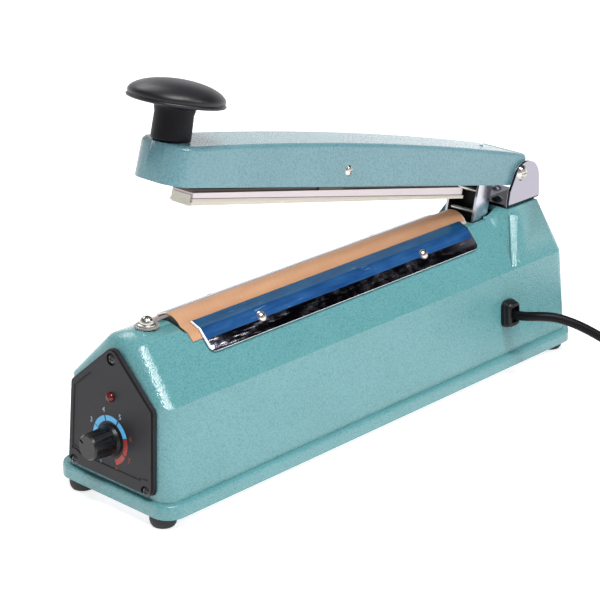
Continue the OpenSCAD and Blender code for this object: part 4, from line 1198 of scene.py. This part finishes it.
terminal = {
    "x": -0.126055, "deck": 0.088, "boss": 0.077, "post": 0.0016,
    "clear": [(0.0056, 0), (0.0061, 0.0002), (0.0062, 0.0008), (0.0058, 0.0011)],
    "inner": 0.0048, "innerDeep": 0.0012,
    "flatUp": 0.0012,
    "flat": [(0.0046, 0), (0.0048, 0.0001), (0.0048, 0.0007), (0.0046, 0.0008), (0.002, 0.0008)],
    "headUp": 0.0020, "turned": 0.4,
    "head": 0.0036, "headHigh": 0.0035, "slot": 0.0008, "slotDeep": 0.0013,
    "headFoot": [(0.0033, 0), (0.0036, 0.0002), (0.0036, 0.0009)],
    "dome": 0.0023, "domeUp": 0.0012,
    "shankDown": 0.0046, "shankUp": 0.0024, "shankPoint": 0.0003,
    "nut": [(0.0029, -0.0036), (0.0032, -0.0034), (0.0032, -0.0014), (0.0029, -0.0012)],
    "rearX": 0.101245, "rearPost": (0.07576, 0.08976),
}


def buildTerminals():
    x, deck, boss, post = (terminal[word] for word in ("x", "deck", "boss", "post"))
    rings = terminal["clear"]
    clear = lathe([*rings, (post, rings[-1][1]), (post, 0), rings[0]])
    settle(clear, Matrix.Translation((x, 0, deck)))
    wide, deep = terminal["inner"], terminal["innerDeep"]
    inner = lathe([(post, -deep), (wide, -deep), (wide, 0), (post, 0), (post, -deep)])
    settle(inner, Matrix.Translation((x, 0, boss)))
    washers = dress(joined([clear, inner]), "clearWasher", "base", finishes["washer"],
                    40)
    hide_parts("terminal_washers")

    flat = lathe(terminal["flat"])
    settle(flat, Matrix.Translation((x, 0, deck + terminal["flatUp"])))
    dome = domeRings(terminal["head"], terminal["dome"])[1:]
    rings = [*terminal["headFoot"], *[(r, z + terminal["domeUp"]) for r, z in dome]]
    head = crossHead(terminal["head"], terminal["headHigh"], terminal["slot"],
                     terminal["slotDeep"], rings)
    settle(head, Matrix.Translation((x, 0, deck + terminal["headUp"]))
           @ Matrix.Rotation(terminal["turned"], 4, "Z"))
    down, point = boss - terminal["shankDown"], terminal["shankPoint"]
    shank = lathe([(post - point, down), (post, down + point),
                   (post, deck + terminal["shankUp"])], 32)
    nut = lathe([(r, boss + z) for r, z in terminal["nut"]], 6)
    for turned in (shank, nut):
        settle(turned, Matrix.Translation((x, 0, 0)))
    rear = lathe([(post, terminal["rearPost"][0]), (post, terminal["rearPost"][1])], 32)
    settle(rear, Matrix.Translation((terminal["rearX"], 0, 0)))
    screws = dress(joined([head, flat, shank, nut, rear]), "terminalScrew", "base",
                   finishes["nickel"], 35)
    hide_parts("terminal_screws")


buildTerminals()
print("terminal set")


# lead bush

bush = {
    "at": (0.1074, -0.03647, 0.038),
    "half": (0.0055, 0.0077), "back": 0.0004, "flange": 0.0024, "corner": 0.0036,
    "stepIn": 0.0007, "rise": 0.0022, "tipRise": 0.0010, "round": 0.00035,
    "well": ((-0.0026, -0.0044, 0.0026), (0.0034, 0.0044, 0.01)),
}


def buildBush():
    halfX, halfY = bush["half"]
    flange = box((-halfX, -halfY, -bush["back"]), (halfX, halfY, bush["flange"]))
    editMode(flange, "EDGE")
    pick(flange, lambda middle, normal: abs(normal.z) > 0.002, "EDGE")
    bpy.ops.mesh.bevel(offset=bush["corner"], segments=3, affect="EDGES")
    bpy.ops.mesh.select_mode(type="FACE")
    pick(flange, lambda middle, normal: normal.z > 0.9)
    bpy.ops.mesh.inset(thickness=bush["stepIn"])
    bpy.ops.mesh.extrude_region_move(TRANSFORM_OT_translate={"value": (0, 0, bush["rise"])})
    bpy.ops.mesh.inset(thickness=bush["stepIn"])
    bpy.ops.transform.translate(value=(0, 0, bush["tipRise"]))
    objectMode()
    cutWith(flange, [box(*bush["well"])])
    finishModifier(flange, "BEVEL", width=bush["round"], segments=3, limit_method="ANGLE",
                   angle_limit=math.radians(28))
    turn = Matrix.Rotation(math.pi / 2 - lean, 4, "X")
    settle(flange, Matrix.Translation(bush["at"]) @ turn)
    dress(flange, "leadBush", "base", finishes["bush"], 40)
    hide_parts("cord_bush")
    return flange


finishes["bush"] = plainPlastic("bushNylon", (12, 12, 14), 0.3, 0.0008, 0.00002, specular=0.3)
bushPiece = buildBush()
print("bush fitted")


# panel groove

groove = {
    "level": 0.00262, "half": 0.00038,
    # round the label field, right and up from the dial's axis
    "corners": [(-0.0075, 0.0364), (-0.0262, 0.0205), (-0.0272, -0.0106), (-0.0214, -0.0116),
                (-0.0206, -0.0139), (0.0206, -0.0139), (0.0213, -0.0128)],
}


# a near-black line along the panel's groove, standing in for the shade in it: painted shadow
def buildGroove():
    corners = groove["corners"]
    line = bpy.data.curves.new("panelGroove", "CURVE")
    line.dimensions = "3D"
    line.bevel_depth = groove["half"]
    line.bevel_resolution = 1
    spline = line.splines.new("POLY")
    spline.points.add(len(corners) - 1)
    for point, (x, y) in zip(spline.points, corners):
        point.co = (x, y, groove["level"], 1)
    piece = bpy.data.objects.new("panelGroove", line)
    scene.collection.objects.link(piece)
    makeActive(piece)
    bpy.ops.object.convert(target="MESH")
    piece = active()
    settle(piece, panelFrame)
    dress(piece, "panelGroove", "base", finishes["groove"])


buildGroove()
print("groove drawn")


# studio

studio = {
    "floor": 14,
    "paper": ((204, 204, 205), (210, 210, 210)), "paperGlow": 0.74,
    # the sky's grey by height, from straight down to straight up
    "sky": [(0.0, (1, 1, 1, 1)), (0.5, (1, 1, 1, 1)), (0.58, (0.95, 0.95, 0.96, 1)),
            (0.66, (0.42, 0.42, 0.45, 1)), (0.74, (0.16, 0.16, 0.18, 1)),
            (0.86, (0.16, 0.16, 0.18, 1)), (1.0, (0.5, 0.5, 0.51, 1))],
    "dark": (0.004, 0.004, 0.006, 1),
    # dark card: the way to it, where it begins and where it is full, and how dark it is
    "flag": (0.68, -0.40, 0.606, 0.88, 0.94), "flagShare": 0.97,
    "behind": (-0.73, -0.68, 0.05, 0.35, 0.8), "behindShare": 0.25,
    "aim": (0, 0, 0.07), "lampShape": 0.7,
    # place, size in metres and power
    "lamps": {
        "overheadSoftbox": ((-0.25, -0.72, 2.0), 1.2, 40),
        "frontSoftbox": ((-0.9, -0.85, 1.7), 0.2, 11),
        "sideStrip": ((0.457, -1.389, 1.223), 0.13, 8),
        "backSoftbox": ((0.5, 1.7, 1.7), 1.2, 14),
    },
}


def buildStudio():
    bpy.ops.mesh.primitive_plane_add(size=studio["floor"], location=(0, 0, 0))
    floor = active()
    floor.name = "studioFloor"
    paper = Finish("floorPaper")
    haze = paper.here.noise(0.4, 2)
    dull, bright = studio["paper"]
    paper.surface(colour=haze.step(0.2, 0.9).mix(srgb(*dull), srgb(*bright)), rough=0.9,
                  specular=0.1, glow=(1, 1, 1, 1), glowPower=studio["paperGlow"])
    floor.data.materials.append(paper.material)

    world = bpy.data.worlds.new("studioWorld")
    scene.world = world
    world.use_nodes = True
    flow = Flow(world.node_tree)
    sky = world.node_tree.nodes["Background"]
    direction = flow.add("ShaderNodeTexCoord", out=0)
    _, _, up = direction.parts()

    # white card all round and below, a dark ceiling with a dark flag, dim behind the camera
    def toward(x, y, z, low, high):
        spot = flow.add("ShaderNodeVectorMath", {"operation": "DOT_PRODUCT"},
                        {0: direction, 1: Vector((x, y, z)).normalized()}, out=1)
        return spot.step(low, high)

    band = flow.add("ShaderNodeValToRGB", {"stops": studio["sky"]}, {"Fac": up * 0.5 + 0.5})
    flag = toward(*studio["flag"])
    behind = toward(*studio["behind"]) * (up > 0)
    shade = (flag * studio["flagShare"]).highest(behind * studio["behindShare"])
    dimmed = shade.mix(band, studio["dark"])
    world.node_tree.links.new(dimmed.socket, sky.inputs["Color"])
    sky.inputs["Strength"].default_value = 1.0

    for name, (place, size, power) in studio["lamps"].items():
        bpy.ops.object.light_add(type="AREA", location=place)
        lamp = active()
        lamp.name = name
        lamp.data.shape = "RECTANGLE"
        lamp.data.size = size
        lamp.data.size_y = size * studio["lampShape"]
        lamp.data.energy = power
        aim = Vector(studio["aim"]) - Vector(place)
        lamp.rotation_euler = aim.to_track_quat("-Z", "Y").to_euler()


buildStudio()
scene.view_settings.view_transform = "Standard"
scene.view_settings.look = "None"
print("studio lit")
